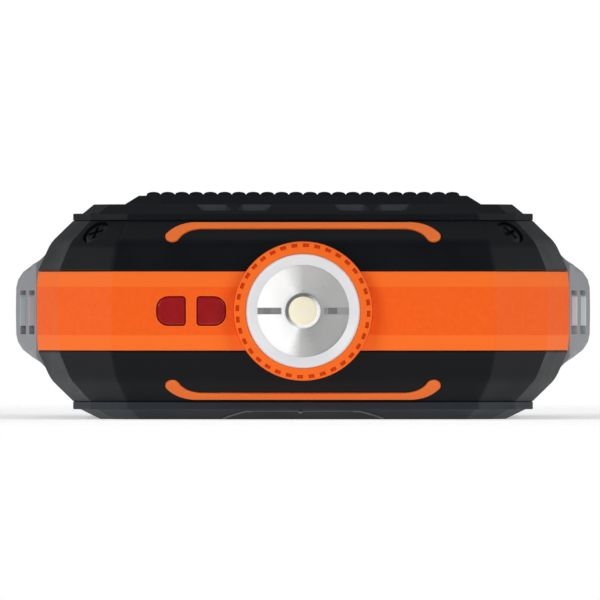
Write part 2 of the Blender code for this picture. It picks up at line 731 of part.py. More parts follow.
def corner_screw_frame(side, end):
    """Frame on a corner facet's slope, Z along the slope's outward normal."""
    angle, distance = facet_planes()[1]
    slope = math.atan2(EDGE_INSET - SHOULDER_INSET, EDGE_H - SHOULDER_H)
    rise = CORNER_SCREW_H - SHOULDER_H
    inset = SHOULDER_INSET + rise * math.tan(slope)
    y = (distance - inset - CORNER_SCREW_X * math.sin(angle)) / math.cos(angle)
    outward = Vector((side * math.sin(angle), end * math.cos(angle), 0.0))
    normal = outward * math.cos(slope) + Vector((0, 0, math.sin(slope)))
    foot = Vector((side * CORNER_SCREW_X, MID_Y + end * y, BAND_Z + CORNER_SCREW_H))
    turn = normal.to_track_quat("Z", "Y").to_matrix().to_4x4()
    return Matrix.Translation(foot) @ turn


def corner_screws(upper, lower):
    """Four tilted screws through the upper shell's corners into posts of the lower shell."""
    shank = 6.5 * MM
    for end, end_name in ((-1, "front"), (1, "rear")):
        for side, side_name in ((-1, "left"), (1, "right")):
            name = f"corner_screw_{end_name}_{side_name}"
            frame = corner_screw_frame(side, end)
            screw(name, frame @ Matrix.Translation((0, 0, -0.15 * MM)), shank)
            outwards = (frame @ Vector((0, 0, 2.0 * MM)))
            seat = frame @ Vector((0, 0, -HEAD_HEIGHT - 0.35 * MM))
            tip = frame @ Vector((0, 0, -HEAD_HEIGHT - shank - 0.6 * MM))
            recess = cutter(rod(name + "_recess", outwards, seat, HEAD_RADIUS + 0.25 * MM, 16))
            bore = cutter(rod(name + "_bore", seat + (seat - tip) * 0.1, tip,
                              SHANK_RADIUS + 0.15 * MM, 8))
            cut(upper, recess, bore)
            middle = frame @ Vector((0, 0, -6.4 * MM))
            post = rod(name + "_post", (middle.x, middle.y, BAND_Z - CEILING_H - 0.3 * MM),
                       (middle.x, middle.y, BAND_Z + 8.6 * MM), POST_RADIUS, 12)
            join(lower, cutter(post))
            cut(lower, bore)


def base_screws(base, lower):
    """Four screws from below through the base cover into bosses of the lower shell."""
    shank = 7.6 * MM
    head_z = 0.35 * MM
    for end, end_name in ((-1, "front"), (1, "rear")):
        for side, side_name in ((-1, "left"), (1, "right")):
            name = f"base_screw_{end_name}_{side_name}"
            x = side * BASE_SCREW_X
            y = MID_Y + end * BASE_SCREW_Y
            frame = Matrix.Translation((x, y, head_z)) @ Matrix.Rotation(math.pi, 4, "X")
            screw(name, frame, shank)
            boss = rod(name + "_boss", (x, y, 4.0 * MM), (x, y, 10.6 * MM), POST_RADIUS, 12)
            join(lower, cutter(boss))
            bore = cutter(rod(name + "_bore", (x, y, -1.0 * MM), (x, y, 9.4 * MM),
                              SHANK_RADIUS + 0.15 * MM, 8))
            recess = cutter(rod(name + "_recess", (x, y, -1.0 * MM), (x, y, 1.6 * MM),
                                HEAD_RADIUS + 0.25 * MM, 16))
            cut(lower, bore)
            cut(base, recess, bore)


# ---------------------------------------------------------------- top controls

def power_button(upper, cover, pad):
    profile = ((0.0, 35.3 * MM), (5.1 * MM, 35.3 * MM), (5.5 * MM, 34.9 * MM),
               (5.5 * MM, 32.6 * MM), (6.7 * MM, 32.6 * MM), (6.7 * MM, 31.9 * MM),
               (1.5 * MM, 31.9 * MM), (1.5 * MM, 29.5 * MM), (0.0, 29.5 * MM))
    button = turned("power_button", profile, closed=False, segments=24)
    button.location = (0.0, BUTTON_Y, 0.0)
    part(button, (0.80, 0.12, 0.02), 0.5)
    mouth = cutter(rod("button_mouth", (0, BUTTON_Y, 32.5 * MM), (0, BUTTON_Y, 36.5 * MM),
                       5.7 * MM, 28))
    cut(cover, mouth)
    cut(pad, mouth)
    cut(upper, cutter(rod("stem_hole", (0, BUTTON_Y, 28.5 * MM), (0, BUTTON_Y, 32.0 * MM),
                          1.8 * MM, 12)))
    board = box("switch_board", (-10 * MM, BUTTON_Y - 8 * MM, 26.0 * MM),
                (10 * MM, BUTTON_Y + 18 * MM, 27.2 * MM))
    part(board, (0.01, 0.12, 0.04), 0.5)
    switch = box("power_switch", (-3 * MM, BUTTON_Y - 3 * MM, 27.5 * MM),
                 (3 * MM, BUTTON_Y + 3 * MM, 28.6 * MM))
    part(switch, (0.1, 0.1, 0.1), 0.4)


def charge_window(cover, pad, upper):
    """Frosted bar that passes through pad, cover and shell above the charge lights."""
    outline = rounded_rectangle(16.0 * MM, 2.6 * MM, (1.2 * MM,) * 4)
    window = prism("charge_window", outline, 29.0 * MM, 35.3 * MM)
    window.location = (0.0, WINDOW_Y, 0.0)
    part(window, (0.7, 0.72, 0.72), 0.3, 0.0, 0.5)
    hole = rounded_rectangle(16.5 * MM, 3.1 * MM, (1.45 * MM,) * 4)
    slot = prism("window_slot", hole, 28.6 * MM, 36.5 * MM)
    slot.location = window.location
    cutter(slot)
    cut(cover, slot)
    cut(pad, slot)
    cut(upper, slot)


# ---------------------------------------------------------------- power electronics

def battery_cells():
    middle = (CELL_FRONT + CELL_BACK) / 2
    half = (CELL_BACK - CELL_FRONT) / 2
    for i in range(CELLS):
        profile = ((0.0, half), (3.2 * MM, half), (3.2 * MM, half - 0.8 * MM),
                   (CELL_RADIUS - 0.5 * MM, half - 0.8 * MM), (CELL_RADIUS, half - 1.3 * MM),
                   (CELL_RADIUS, -half + 0.5 * MM), (CELL_RADIUS - 0.5 * MM, -half), (0.0, -half))
        cell = turned(f"battery_cell_{i + 1}", profile, closed=False, segments=20)
        cell.location = ((i - (CELLS - 1) / 2) * CELL_PITCH, middle, BAND_Z)
        cell.rotation_euler = (math.pi / 2, 0.0, 0.0)
        part(cell, (0.02, 0.10, 0.35), 0.4)


def cell_cradle():
    """Tray under the cells with a wall at each end."""
    half = CELLS * CELL_PITCH / 2 + 0.7 * MM
    low = (-half, CELL_FRONT - 3.0 * MM, 5.05 * MM)
    high = (half, CELL_BACK + 3.0 * MM, 13.0 * MM)
    cradle = box("cell_cradle", low, high)
    for i in range(CELLS):
        x = (i - (CELLS - 1) / 2) * CELL_PITCH
        cut(cradle, cutter(rod(f"cell_bed_{i}", (x, CELL_FRONT - 1.2 * MM, BAND_Z),
                               (x, CELL_BACK + 1.2 * MM, BAND_Z), CELL_RADIUS + 0.25 * MM, 30)))
    return part(cradle, (0.03, 0.03, 0.03), 0.6)


def cell_straps():
    for name, y, side in (("cell_strap_front", CELL_FRONT, -1), ("cell_strap_rear", CELL_BACK, 1)):
        ys = sorted((y + side * 0.3 * MM, y + side * 0.6 * MM))
        strap = box(name, (-26.0 * MM, ys[0], BAND_Z - 2.5 * MM), (26.0 * MM, ys[1], BAND_Z + 2.5 * MM))
        part(strap, (0.6, 0.6, 0.58), 0.3, 1.0)


def main_board():
    board = box("main_board", (-24.0 * MM, 34.0 * MM, MAIN_BOARD_TOP - BOARD_THICK),
                (24.0 * MM, REAR_Y - 5.2 * MM, MAIN_BOARD_TOP))
    return part(board, (0.01, 0.12, 0.04), 0.5)


def usb_socket(name, x, width, height, depth, corner, tongue):
    """Metal socket shell open to the rear, with a contact tongue inside."""
    wall = 0.4 * MM
    mouth_y = REAR_Y - 2.4 * MM
    centre_z = MAIN_BOARD_TOP + 0.3 * MM + height / 2
    outline = rounded_rectangle(width, height, (corner,) * 4, 3)
    bore = rounded_rectangle(width - 2 * wall, height - 2 * wall, (corner - wall / 2,) * 4, 3)
    socket = prism(name, outline, 0.0, depth)
    hollow = prism(name + "_hollow", bore, -1.0 * MM, depth - 1.5 * MM)
    blade = box(name + "_tongue", (-tongue[0] / 2, -tongue[1] / 2, 1.2 * MM),
                (tongue[0] / 2, tongue[1] / 2, depth - 1.0 * MM))
    for obj in (socket, hollow, blade):
        obj.matrix_world = Matrix.Translation((x, mouth_y, centre_z)) @ Matrix.Rotation(
            math.pi / 2, 4, "X")
    cut(socket, cutter(hollow))
    join(socket, cutter(blade))
    return part(socket, (0.6, 0.6, 0.62), 0.25, 1.0)


# ---------------------------------------------------------------- port cover

def door_bore(name):
    """Bore of the port cover's pin, which runs on into the band at both ends."""
    y = REAR_Y - DOOR_PIN_IN
    z = BAND_Z + DOOR_PIN_H
    reach = DOOR_HALF + 2.0 * MM
    return rod(name, (-reach, y, z), (reach, y, z), 0.5 * MM, 12)


def port_cover():
    """Hinged cover in the band's rear, round along its lower edge, on the pin's axis."""
    pin = (-DOOR_PIN_IN, DOOR_PIN_H)
    bevel = 0.3 * MM
    outline = [(-DOOR_THICK, DOOR_HALF_HEIGHT), (-DOOR_THICK, DOOR_PIN_H)]
    outline += arc(pin, 0.85 * MM, 180, 360, 8)
    outline += [(0.0, -BAND_STRIP), (0.0, BAND_STRIP), (-bevel, DOOR_HALF_HEIGHT)]
    cover = prism("port_cover", outline, -DOOR_HALF, DOOR_HALF)
    upright = Matrix(((0, 0, 1, 0), (1, 0, 0, 0), (0, 1, 0, 0), (0, 0, 0, 1)))
    hinge = Vector((0.0, REAR_Y - DOOR_PIN_IN, BAND_Z + DOOR_PIN_H))
    cover.data.transform(Matrix.Translation((0, REAR_Y, BAND_Z)) @ upright)
    cover.data.transform(Matrix.Translation(-hinge))
    cover.location = hinge
    notch = box("door_notch", (-5.0 * MM, REAR_Y - 0.7 * MM, BAND_Z + 4.3 * MM),
                (5.0 * MM, REAR_Y + 1.0 * MM, BAND_Z + 6.0 * MM))
    cut(cover, cutter(notch), cutter(door_bore("door_pin_bore")))
    part(cover, (0.88, 0.12, 0.02), 0.5)
    reach = DOOR_HALF + 1.6 * MM
    pin_rod = rod("port_cover_pin", (-reach, hinge.y, hinge.z), (reach, hinge.y, hinge.z),
                  0.42 * MM, 12)
    part(pin_rod, (0.6, 0.6, 0.62), 0.25, 1.0)


# ---------------------------------------------------------------- assembly

def build():
    global PARTS, CUTTERS
    clear_scene()
    PARTS = new_collection("torch_power_bank")
    CUTTERS = new_collection("cutters")

    upper = shell("upper_shell", 1)
    lower = shell("lower_shell", -1)
    band = bumper_band()
    pocket, seat, windows = front_openings()
    port = port_opening()
    for half, side in ((upper, 1), (lower, -1)):
        join(half, saddle(side))
        cut(half, pocket, seat, port, *windows)
        cut(half, grip_pocket(-1, side), grip_pocket(1, side))
    cut(band, pocket, *windows)
    trims(upper, lower)
    corner_screws(upper, lower)

    cover = top_cover()
    pad = grip_pad()
    base = base_cover()
    base_screws(base, lower)
    power_button(upper, cover, pad)
    charge_window(cover, pad, upper)
    part(upper, (0.016, 0.018, 0.021), 0.5)
    part(lower, (0.016, 0.018, 0.021), 0.5)

    side_grip("left_side_grip", -1)
    side_grip("right_side_grip", 1)

    focus_ring()
    optic_carrier()
    torch_lens()
    lens_gasket()
    torch_reflector()
    torch_barrel()
    torch_led()
    led_board()
    heat_sink()
    signal_lamps()

    battery_cells()
    cell_cradle()
    cell_straps()
    main_board()
    for name, x in (("usb_a_socket_left", -PORT_X), ("usb_a_socket_right", PORT_X)):
        usb_socket(name, x, 13.1 * MM, 5.8 * MM, 13.5 * MM, 0.6 * MM, (10.8 * MM, 1.8 * MM))
    usb_socket("usb_c_socket", 0.0, 8.9 * MM, 3.2 * MM, 8.0 * MM, 1.4 * MM, (6.6 * MM, 0.7 * MM))
    port_cover()


build()
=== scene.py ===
import json
import math

import bmesh
import bpy
from mathutils import Matrix, Vector


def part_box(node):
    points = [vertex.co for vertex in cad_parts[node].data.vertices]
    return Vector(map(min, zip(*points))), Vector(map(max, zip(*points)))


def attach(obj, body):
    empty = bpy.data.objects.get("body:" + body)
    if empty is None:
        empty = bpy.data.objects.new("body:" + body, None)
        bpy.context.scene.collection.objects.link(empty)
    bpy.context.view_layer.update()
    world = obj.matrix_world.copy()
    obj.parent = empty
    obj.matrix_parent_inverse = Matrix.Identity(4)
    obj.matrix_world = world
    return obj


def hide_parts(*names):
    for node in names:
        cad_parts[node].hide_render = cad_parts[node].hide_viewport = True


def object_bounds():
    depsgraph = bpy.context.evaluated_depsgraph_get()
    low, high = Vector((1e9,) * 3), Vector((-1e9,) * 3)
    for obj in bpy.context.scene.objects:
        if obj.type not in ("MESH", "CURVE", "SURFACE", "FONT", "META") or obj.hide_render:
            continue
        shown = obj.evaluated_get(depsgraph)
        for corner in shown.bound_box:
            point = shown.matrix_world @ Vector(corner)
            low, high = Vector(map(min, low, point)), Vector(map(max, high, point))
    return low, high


# The looks of a rugged power bank with a focusing torch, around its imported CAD
# model. Metres, +Z up, torch towards -Y. Heights h are measured from the middle
# of the bumper band, and insets inwards from the band's widest outline.

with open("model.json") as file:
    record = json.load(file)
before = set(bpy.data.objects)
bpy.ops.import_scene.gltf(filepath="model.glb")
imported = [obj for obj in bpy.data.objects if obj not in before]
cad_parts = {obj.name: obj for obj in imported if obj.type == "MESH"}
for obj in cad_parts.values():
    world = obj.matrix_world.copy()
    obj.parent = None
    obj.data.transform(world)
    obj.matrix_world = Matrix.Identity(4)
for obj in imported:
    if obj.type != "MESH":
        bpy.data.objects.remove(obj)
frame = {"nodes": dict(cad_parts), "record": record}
cad_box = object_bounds()

MM = 0.001


def at(x, y, z):
    return Matrix.Translation((x, y, z))


def turned(angle, axis):
    return Matrix.Rotation(angle, 4, axis)


# ---------------------------------------------------------------- measures

band_low, band_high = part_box("bumper_band")
ring_low, ring_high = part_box("focus_ring")
grip_low, grip_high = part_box("right_side_grip")
cover_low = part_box("top_cover")[0]
base_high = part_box("base_cover")[1]
pad_low, pad_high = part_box("grip_pad")
door_low, door_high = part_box("port_cover")
button_low, button_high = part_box("power_button")
window_low, window_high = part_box("charge_window")

HALF_WIDTH = band_high.x
HALF_LENGTH = (band_high.y - band_low.y) / 2
FRONT_Y = band_low.y
REAR_Y = band_high.y
MID_Y = (FRONT_Y + REAR_Y) / 2
BAND_Z = (band_low.z + band_high.z) / 2
BAND_HALF = (band_high.z - band_low.z) / 2
TORCH = at(0.0, FRONT_Y, BAND_Z) @ turned(math.pi / 2, "X")

# Outline of the case from above
END_FLAT = 30.0 * MM
FACET_BREAK = 38.3 * MM
FACET_ANGLES = (0.0, math.radians(48.0), math.radians(72.0), math.radians(90.0))
FACET_RADIUS = 0.9 * MM
COVER_RADIUS = 0.5 * MM

# Section of the case
BAND_STRIP = 3.78 * MM
BAND_BEVEL = 0.24 * MM
BAND_THICK = 2.0 * MM
BAND_GROOVE = 2.35 * MM
WALL_INSET = 4.2 * MM
LIP_INSET = 0.16 * MM
LIP_GAP = 0.05 * MM
SHOULDER_INSET = 2.18 * MM
SHOULDER_H = 10.7 * MM
EDGE_INSET = 5.71 * MM
EDGE_H = 14.15 * MM
CEILING_INSET = 6.5 * MM
CEILING_H = 12.2 * MM
SPLIT = 0.1 * MM
FIT = 0.15 * MM
LAMP_GAP = 0.05 * MM

# Covers
LEDGE_INSET = 5.69 * MM
TOP_LEDGE_Z = 32.2 * MM
PLATEAU_Z = 33.65 * MM
BLOCK_Z = 35.0 * MM
BASE_LEDGE_Z = 1.53 * MM
BASE_SLOPE_INSET = 9.94 * MM
RIBS = 22
PAD_CORNER = 4.2 * MM

# Torch, as radii and distances forward of the band's front face
RING_RADIUS = (ring_high.x - ring_low.x) / 2
RING_PROUD = FRONT_Y - ring_low.y
RING_BORE = 8.98 * MM
DIMPLES = 36
DIMPLE_ORBIT = 10.25 * MM
POCKET_RADIUS = RING_RADIUS + 0.03 * MM
POCKET_DEPTH = 8.0 * MM
BOWL_MOUTH = 7.15 * MM
BOWL_THROAT = 2.8 * MM
BOWL_FRONT = -2.2 * MM
BOWL_BACK = -8.2 * MM

# Screws
SCREW_RADIUS = 2.1 * MM
SCREW_SEAT = SCREW_RADIUS + 0.22 * MM
CORNER_SCREW_X = 32.5 * MM
CORNER_SCREW_H = 12.4 * MM

# Openings for the controls and sockets; cuts through the top run from CUT_LOW to CUT_HIGH
STEM_RADIUS = 1.8 * MM
BUTTON_MOUTH = 5.7 * MM
BUTTON_CLEAR = 7.0 * MM
WINDOW_CLEAR_X = 9.6 * MM
WINDOW_CLEAR_Y = 2.4 * MM
PORT_HALF_X = 21 * MM
PORT_HALF_Z = 4.9 * MM
PORT_DEPTH = 4.6 * MM
TRIM_FIT = 0.12 * MM
CUT_LOW = 28 * MM
CUT_HIGH = 38 * MM

# Side grips, across from the middle of the case; ribs, pits and ends in millimetres
GRIP_REACH = 45 * MM
GRIP_SLACK = 0.2 * MM
GRIP_RIBS = ((42.65, 45.6), (44.05, 42.0))
GRIP_PITS = ((2, -3.0, 1.3), (3, 2.85, 0.7))
GROOVE_PITCH = 5.5 * MM
GRIP_END_X = 41.9
GRIP_RISE = 3.3
GRIP_TAPER = 0.385

# Line on the base cover: half its straight part, each bend sideways, its height, its fall
LINE_FLAT = 8.8 * MM
LINE_BEND = 3.7 * MM
LINE_TOP = 1.3 * MM
LINE_FALL = 1.1 * MM

SPARE_SLOTS = 5
shown = {}


# ---------------------------------------------------------------- mesh helpers

def add_object(name, mesh):
    """New object; a mesh gets empty material slots, so that cuts keep their own finish."""
    if isinstance(mesh, bpy.types.Mesh) and not mesh.materials:
        for _ in range(SPARE_SLOTS):
            mesh.materials.append(None)
    obj = bpy.data.objects.new(name, mesh)
    bpy.context.scene.collection.objects.link(obj)
    return obj


def from_bmesh(name, bm):
    bmesh.ops.recalc_face_normals(bm, faces=bm.faces)
    mesh = bpy.data.meshes.new(name)
    bm.to_mesh(mesh)
    bm.free()
    return add_object(name, mesh)


def settle(obj):
    """Turn an object's modifiers into its mesh."""
    bpy.context.view_layer.update()
    evaluated = obj.evaluated_get(bpy.context.evaluated_depsgraph_get())
    mesh = bpy.data.meshes.new_from_object(evaluated)
    obj.modifiers.clear()
    obj.data = mesh
    return obj


def carve(obj, tools, operation="DIFFERENCE"):
    """Cut tools out of obj, or join them to it, and drop the tools."""
    for tool in tools:
        modifier = obj.modifiers.new("carve", "BOOLEAN")
        modifier.operation = operation
        modifier.solver = "EXACT"
        modifier.object = tool
    settle(obj)
    for tool in tools:
        bpy.data.objects.remove(tool)
    return obj


def finish_slot(obj, index=1):
    """Give all faces one material slot; faces that a tool cuts take the tool's slot."""
    for face in obj.data.polygons:
        face.material_index = index
    return obj


def combine(obj, others):
    """Add other objects' meshes to obj as further shells."""
    bm = bmesh.new()
    for each in [obj] + others:
        bm.from_mesh(each.data)
    bm.to_mesh(obj.data)
    bm.free()
    for other in others:
        bpy.data.objects.remove(other)
    return obj


def shade(obj, angle=32.0):
    """Smooth shading that stays flat on the large faces."""
    obj.data.shade_smooth()
    obj.data.set_sharp_from_angle(angle=math.radians(angle))
    weighted = obj.modifiers.new("weighted", "WEIGHTED_NORMAL")
    weighted.keep_sharp = True
    return obj


def fillet(points, radii, closed=True, steps=4):
    """Round the corners of a flat path; radii is one radius, or one for each corner."""
    points = [Vector(p) for p in points]
    if not hasattr(radii, "__len__"):
        radii = [radii] * len(points)
    path = []
    for i, (corner, radius) in enumerate(zip(points, radii)):
        if radius <= 0:
            path.append(corner)
            continue
        back = points[i - 1] - corner
        ahead = points[(i + 1) % len(points)] - corner
        half = back.angle(ahead) / 2
        reach = min(radius / math.tan(half), 0.48 * back.length, 0.48 * ahead.length)
        start = corner + back.normalized() * reach
        end = corner + ahead.normalized() * reach
        middle = (back.normalized() + ahead.normalized()).normalized()
        centre = corner + middle * reach / math.cos(half)
        for step in range(steps + 1):
            path.append(centre + turn_between(start - centre, end - centre, step / steps))
    return path


def turn_between(a, b, t):
    """Vector between a and b, turned at an even rate."""
    angle = a.angle(b)
    if angle < 0.001:
        return a.lerp(b, t)
    whole = math.sin(angle)
    return a * (math.sin((1 - t) * angle) / whole) + b * (math.sin(t * angle) / whole)


def skin(name, loops, ring=False):
    """Closed surface through loops of points, capped, or joined end to end as a ring."""
    bm = bmesh.new()
    rows = [[bm.verts.new(p) for p in loop] for loop in loops]
    following = rows[1:] + rows[:1] if ring else rows[1:]
    for row, above in zip(rows, following):
        for i in range(len(row)):
            j = (i + 1) % len(row)
            bm.faces.new((row[i], row[j], above[j], above[i]))
    if not ring:
        bm.faces.new(reversed(rows[0]))
        bm.faces.new(rows[-1])
    return from_bmesh(name, bm)


def prism(name, outline, low, high, bevel=0.0, matrix=Matrix.Identity(4)):
    """Flat outline made thick along local Z, its upper rim rounded by bevel."""
    levels = [(0.0, low), (0.0, high - bevel)]
    if bevel > 0:
        quarter = [math.radians(90 * i / 4) for i in range(1, 5)]
        levels += [(bevel * (1 - math.cos(a)), high - bevel + bevel * math.sin(a)) for a in quarter]
    loops = [[(p.x, p.y, z) for p in shrink(outline, inset)] for inset, z in levels]
    obj = skin(name, loops)
    obj.data.transform(matrix)
    return obj


def shrink(outline, inset):
    """Outline drawn in by inset along each corner's own normal; it runs anticlockwise."""
    outline = [Vector(p) for p in outline]
    drawn = []
    for i, point in enumerate(outline):
        before = (point - outline[i - 1]).normalized()
        after = (outline[(i + 1) % len(outline)] - point).normalized()
        along = (before + after).normalized()
        spread = max(0.5, math.sqrt(max(0.0, (1 + before.dot(after)) / 2)))
        drawn.append(point + Vector((-along.y, along.x)) * inset / spread)
    return drawn


def lathe(name, profile, matrix, segments=96, closed=True):
    """Profile of (radius, height) turned about local Z, outer side first, top down."""
    mesh = bpy.data.meshes.new(name)
    edges = [(i, i + 1) for i in range(len(profile) - 1)]
    if closed:
        edges.append((len(profile) - 1, 0))
    mesh.from_pydata([(p[0], 0.0, p[1]) for p in profile], edges, [])
    obj = add_object(name, mesh)
    screw = obj.modifiers.new("turn", "SCREW")
    screw.steps = segments
    screw.render_steps = segments
    screw.use_merge_vertices = True
    screw.merge_threshold = 0.000001
    settle(obj)
    obj.data.transform(matrix)
    return obj


def turned_piece(name, points, radii, matrix=TORCH, segments=96, closed=True):
    """Turned piece from points in millimetres, its corners rounded by radii."""
    profile = [p * MM for p in fillet(points, radii)]
    return lathe(name, profile, matrix, segments, closed)


def rounded_box(name, size, radius, matrix):
    bm = bmesh.new()
    bmesh.ops.create_cube(bm, size=1.0, matrix=Matrix.Diagonal((*size, 1.0)))
    if radius > 0:
        bmesh.ops.bevel(bm, geom=bm.edges[:], offset=radius, segments=3, profile=0.5,
                        affect="EDGES")
    bmesh.ops.transform(bm, matrix=matrix, verts=bm.verts)
    return from_bmesh(name, bm)


def box_between(name, corner, opposite):
    low = Vector(map(min, corner, opposite))
    high = Vector(map(max, corner, opposite))
    return rounded_box(name, high - low, 0.0, Matrix.Translation((low + high) / 2))


def rod(name, start, end, radius, segments=32):
    start = Vector(start)
    axis = Vector(end) - start
    turn = axis.to_track_quat("Z", "Y").to_matrix().to_4x4()
    bm = bmesh.new()
    bmesh.ops.create_cone(bm, cap_ends=True, segments=segments, radius1=radius, radius2=radius,
                          depth=axis.length, matrix=Matrix.Translation(start + axis / 2) @ turn)
    return from_bmesh(name, bm)


def wire(name, points, radius):
    """Round wire along points, closed at both ends."""
    curve = bpy.data.curves.new(name, "CURVE")
    curve.dimensions = "3D"
    curve.bevel_depth = radius
    curve.bevel_resolution = 3
    curve.use_fill_caps = True
    spline = curve.splines.new("POLY")
    spline.points.add(len(points) - 1)
    for target, point in zip(spline.points, points):
        target.co = (*point, 1.0)
    obj = add_object(name + "_path", curve)
    bpy.context.view_layer.update()
    mesh = bpy.data.meshes.new_from_object(obj.evaluated_get(
        bpy.context.evaluated_depsgraph_get()))
    bpy.data.objects.remove(obj)
    return add_object(name, mesh)


def rounded_rectangle(width, height, radii, steps=6):
    """Rectangle about the origin; radii run anticlockwise from the right top corner."""
    corners = [(width / 2, height / 2), (-width / 2, height / 2),
               (-width / 2, -height / 2), (width / 2, -height / 2)]
    return fillet(corners, radii, steps=steps)


# ---------------------------------------------------------------- materials

def node(tree, kind, **settings):
    made = tree.nodes.new(kind)
    for key, value in settings.items():
        if key.title() in made.inputs:
            made.inputs[key.title()].default_value = value
        else:
            setattr(made, key, value)
    return made


def link(source, target):
    target.id_data.links.new(source, target)


def put(made, **values):
    """Set a node's inputs by name, with _ for each space."""
    for name, value in values.items():
        made.inputs[name.replace("_", " ")].default_value = value


def start_material(name, roughness, metallic=0.0, specular=0.5, coat=0.0):
    material = bpy.data.materials.new(name)
    material.use_nodes = True
    tree = material.node_tree
    shader = tree.nodes["Principled BSDF"]
    put(shader, Roughness=roughness, Metallic=metallic, Specular_IOR_Level=specular,
        Coat_Weight=coat)
    place = node(tree, "ShaderNodeTexCoord").outputs["Object"]
    return material, tree, shader, place


def noise(tree, place, size, detail=3.0, stretch=None):
    """Noise whose features are about size metres across."""
    if stretch:
        mapping = node(tree, "ShaderNodeMapping")
        put(mapping, Scale=stretch)
        link(place, mapping.inputs["Vector"])
        place = mapping.outputs["Vector"]
    texture = node(tree, "ShaderNodeTexNoise", scale=1.0 / size, detail=detail)
    link(place, texture.inputs["Vector"])
    return texture.outputs["Fac"]


def remap(tree, value, low, high, new_low, new_high):
    made = node(tree, "ShaderNodeMapRange")
    put(made, From_Min=low, From_Max=high, To_Min=new_low, To_Max=new_high)
    link(value, made.inputs["Value"])
    return made.outputs["Result"]


def mix_colours(tree, factor, first, second):
    made = node(tree, "ShaderNodeMix", data_type="RGBA")
    link(factor, made.inputs[0])
    for socket, colour in ((made.inputs[6], first), (made.inputs[7], second)):
        if hasattr(colour, "links"):
            link(colour, socket)
        else:
            socket.default_value = (*colour, 1.0)
    return made.outputs[2]


def combine_values(tree, operation, first, second):
    made = node(tree, "ShaderNodeMath", operation=operation)
    for socket, value in zip(made.inputs, (first, second)):
        if hasattr(value, "links"):
            link(value, socket)
        else:
            socket.default_value = value
    return made.outputs[0]


def edge_mask(tree):
    """1 along the edges, where a slightly rounded surface would turn, and 0 elsewhere."""
    softened = node(tree, "ShaderNodeBevel", radius=0.22 * MM)
    softened.samples = 4
    geometry = node(tree, "ShaderNodeNewGeometry")
    agreement = node(tree, "ShaderNodeVectorMath", operation="DOT_PRODUCT")
    link(softened.outputs[0], agreement.inputs[0])
    link(geometry.outputs["Normal"], agreement.inputs[1])
    return remap(tree, agreement.outputs["Value"], 0.985, 0.86, 0.0, 1.0)


def bump(tree, shader, height, depth, strength=0.6, under=None):
    made = node(tree, "ShaderNodeBump", strength=strength, distance=depth)
    link(height, made.inputs["Height"])
    if under is not None:
        link(under, made.inputs["Normal"])
    link(made.outputs["Normal"], shader.inputs["Normal"])
    return made.outputs["Normal"]


def lighter(colour, amount):
    return tuple(min(1.0, c * amount) for c in colour)


def plastic(name, colour, roughness, grain=0.00022, depth=0.00002, edge_wear_and_highlight=1.5, spread=0.06,
            specular=0.5, coat=0.0):
    """Moulded plastic: spark-eroded grain, uneven sheen, faint scuffs and paler edges, which are
    partly wear and partly painted highlight.
    """
    material, tree, shader, place = start_material(name, roughness, specular=specular, coat=coat)
    broad = noise(tree, place, 0.009, 4.0)
    base = mix_colours(tree, broad, lighter(colour, 0.93), lighter(colour, 1.07))
    scuffs = remap(tree, noise(tree, place, 0.0012, 2.0, (0.25, 1.0, 2.2)), 0.6, 0.75, 0.0, 0.3)
    # Edges are painted paler: partly wear, partly a painted highlight where a rounded edge would
    # catch the light.
    worn_and_highlit = combine_values(tree, "MULTIPLY", edge_mask(tree), wear_and_highlight_strength(tree, place))
    tinted = mix_colours(tree, worn_and_highlit, base, lighter(colour, edge_wear_and_highlight))
    link(tinted, shader.inputs["Base Color"])
    sheen = remap(tree, broad, 0.3, 0.7, roughness - spread, roughness + spread)
    rubbed = combine_values(tree, "MULTIPLY_ADD", scuffs, -0.25)
    link(sheen, rubbed.node.inputs[2])
    link(rubbed, shader.inputs["Roughness"])
    fine = noise(tree, place, grain, 2.0)
    bump(tree, shader, fine, depth)
    return material


def wear_and_highlight_strength(tree, place):
    """Uneven strength along an edge, so that the paler edge, partly wear and partly painted
    highlight, isn't a drawn line.
    """
    return remap(tree, noise(tree, place, 0.003, 3.0), 0.35, 0.65, 0.35, 1.0)


def band_orange(name):
    """Orange band: a fine pebbled strip between two smoother bevels, whose brighter colour is a
    painted highlight on their slopes.
    """
    strip = (0.96, 0.122, 0.010)
    # The bevel colour is lighter than the strip: a painted highlight on the bevels' slopes.
    bevel = (0.97, 0.165, 0.018)
    material, tree, shader, place = start_material(name, 0.5, specular=0.12)
    split = node(tree, "ShaderNodeSeparateXYZ")
    link(place, split.inputs[0])
    height = combine_values(tree, "SUBTRACT", split.outputs["Z"], BAND_Z)
    height = combine_values(tree, "ABSOLUTE", height, 0.0)
    on_bevel = remap(tree, height, BAND_STRIP - 0.05 * MM, BAND_STRIP + 0.05 * MM, 0.0, 1.0)
    mottle = noise(tree, place, 0.0009, 4.0)
    dusty = mix_colours(tree, mottle, lighter(strip, 0.9), lighter(strip, 1.08))
    base = mix_colours(tree, on_bevel, dusty, bevel)
    # Paler edges on the band too: partly wear, partly painted highlight.
    worn_and_highlit = combine_values(tree, "MULTIPLY", edge_mask(tree), wear_and_highlight_strength(tree, place))
    tinted = mix_colours(tree, worn_and_highlit, base, (0.95, 0.26, 0.07))
    link(tinted, shader.inputs["Base Color"])
    sheen = remap(tree, noise(tree, place, 0.007, 3.0), 0.3, 0.7, 0.46, 0.58)
    link(sheen, shader.inputs["Roughness"])
    pebbles = node(tree, "ShaderNodeTexVoronoi", scale=1.0 / 0.00042)
    link(place, pebbles.inputs["Vector"])
    dip = remap(tree, pebbles.outputs["Distance"], 0.0, 0.7, 1.0, 0.0)
    off_bevel = combine_values(tree, "SUBTRACT", 1.0, on_bevel)
    pebbled = combine_values(tree, "MULTIPLY", dip, off_bevel)
    under = bump(tree, shader, pebbled, 0.00005, 0.5)
    bump(tree, shader, noise(tree, place, 0.00018, 2.0), 0.00001, 0.5, under)
    return material


